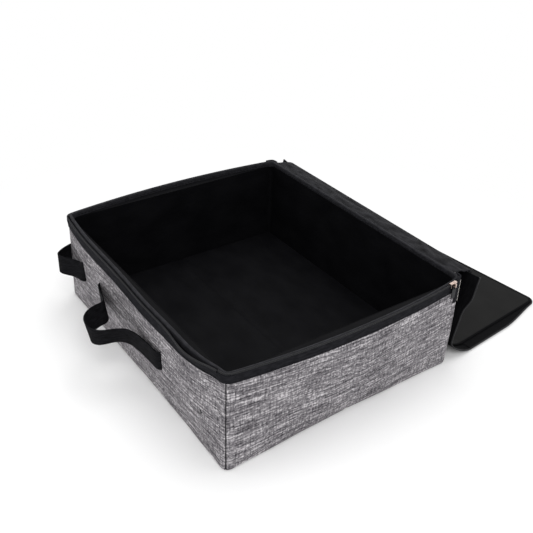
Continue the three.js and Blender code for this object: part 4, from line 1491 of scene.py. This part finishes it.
def add_camera():
    data = bpy.data.cameras.new("camera")
    data.sensor_width = SENSOR_MM
    data.lens = LENS_MM
    camera = bpy.data.objects.new("camera", data)
    bpy.context.scene.collection.objects.link(camera)
    camera.location = CAMERA_PLACE
    level = math.cos(CAMERA_ELEVATION)
    back = Vector((
        math.sin(CAMERA_AZIMUTH) * level, -math.cos(CAMERA_AZIMUTH) * level, math.sin(CAMERA_ELEVATION),
    ))
    camera.rotation_mode = "QUATERNION"
    camera.rotation_quaternion = (-back).to_track_quat("-Z", "Y") @ Quaternion((0, 0, 1), CAMERA_ROLL)
    data.clip_start, data.clip_end = 0.01, 50
    bpy.context.scene.camera = camera


def add_lamp(name, place, size, power):
    data = bpy.data.lights.new(name, "AREA")
    data.shape = "DISK"
    data.size = size
    data.energy = power
    lamp = bpy.data.objects.new(name, data)
    bpy.context.scene.collection.objects.link(lamp)
    lamp.location = place
    lamp.rotation_mode = "QUATERNION"
    lamp.rotation_quaternion = (Vector(LAMPS_LOOK_AT) - Vector(place)).to_track_quat("-Z", "Y")


def seen_by_eye(tree):
    """1 for rays that show the background: straight, mirrored or through glass."""
    rays = add(tree, "ShaderNodeLightPath").node.outputs
    inputs = {0: rays["Is Glossy Ray"], 1: rays["Is Transmission Ray"]}
    mirrored = add(tree, "ShaderNodeMath", inputs, operation="MAXIMUM")
    return add(tree, "ShaderNodeMath", {0: rays["Is Camera Ray"], 1: mirrored}, operation="MAXIMUM")


def add_studio():
    """A pale floor under soft lamps; the camera and glossy rays see plain white behind."""
    world = bpy.data.worlds.new("studio")
    bpy.context.scene.world = world
    world.use_nodes = True
    tree = world.node_tree
    inputs = {"Value": seen_by_eye(tree), "To Min": WORLD_LIGHT, "To Max": 1.0}
    background = tree.nodes["Background"]
    background.inputs["Color"].default_value = linear("#ffffff")
    tree.links.new(add(tree, "ShaderNodeMapRange", inputs), background.inputs["Strength"])

    mesh = bpy.data.meshes.new("studio_floor")
    corners = [(x * FLOOR_REACH, y * FLOOR_REACH, 0) for x, y in ((-1, -1), (1, -1), (1, 1), (-1, 1))]
    mesh.from_pydata(corners, [], [(0, 1, 2, 3)])
    floor = bpy.data.objects.new("studio_floor", mesh)
    floor.location.z = -FLOOR_BELOW
    bpy.context.scene.collection.objects.link(floor)

    # Matt floor paint: an even pale grey-white that takes a soft shadow; further out it turns to
    # plain white for the rays that show the background
    material, tree = new_material("studio_floor_matt_paint")
    grain = add(tree, "ShaderNodeTexNoise", {"Scale": 1 / (25 * MM)}, give="Fac")
    colour = add(tree, "ShaderNodeValToRGB", {"Fac": grain}, stops=((0.3, "#fafafa"), (0.7, "#fdfdfd")))
    paint = surface(tree, colour, 0.9, Specular_IOR_Level=0.1)
    place = add(tree, "ShaderNodeNewGeometry", give="Position")
    far = add(tree, "ShaderNodeVectorMath", {0: place}, give="Value", operation="LENGTH")
    inputs = {"Value": far, "From Min": WHITE_FROM, "From Max": WHITE_BEYOND}
    fade = add(tree, "ShaderNodeMapRange", inputs)
    shown = add(tree, "ShaderNodeMath", {0: fade, 1: seen_by_eye(tree)}, operation="MULTIPLY")
    white = add(tree, "ShaderNodeEmission", {"Color": linear("#ffffff"), "Strength": 1.0})
    mixed = add(tree, "ShaderNodeMixShader", {0: shown, 1: paint.outputs["BSDF"], 2: white})
    tree.links.new(mixed, tree.nodes["Material Output"].inputs["Surface"])
    mesh.materials.append(material)

    # Name, place, width in metres and power in watts
    add_lamp("key", (1.6, -0.9, 1.9), 1.4, 26)
    add_lamp("top", (-0.3, 0.5, 2.4), 2.0, 24)
    add_lamp("fill", (-1.2, -1.8, 1.2), 1.6, 5)


bpy.context.scene.view_settings.view_transform = "Standard"
add_camera()
add_studio()

for wall in WALLS:
    wall_cover(wall)
    wall_liner(wall)
    wall_rim(wall)
for wall in ZIPPED:
    wall_zip(wall)
for end in ("front", "rear"):
    for side in ("left", "right"):
        corner(end, side)
base_cloth()
floor_cloth()
carry_handle()
corner_loop()
snap_cap()
fitting("zip_slider", ZIP_METAL, SLIDER_ROUND)
fitting("zip_pull", PULL_METAL, PULL_ROUND)
hinge_strip()
lid_faces("upper")
lid_crease()
lid_faces("lower")
lid_hems()

# The stiffener boards keep their solids, which the cloths hide
for node, piece in frame["nodes"].items():
    if "board" in node:
        piece.data.materials.clear()
        piece.data.materials.append(BOARD)
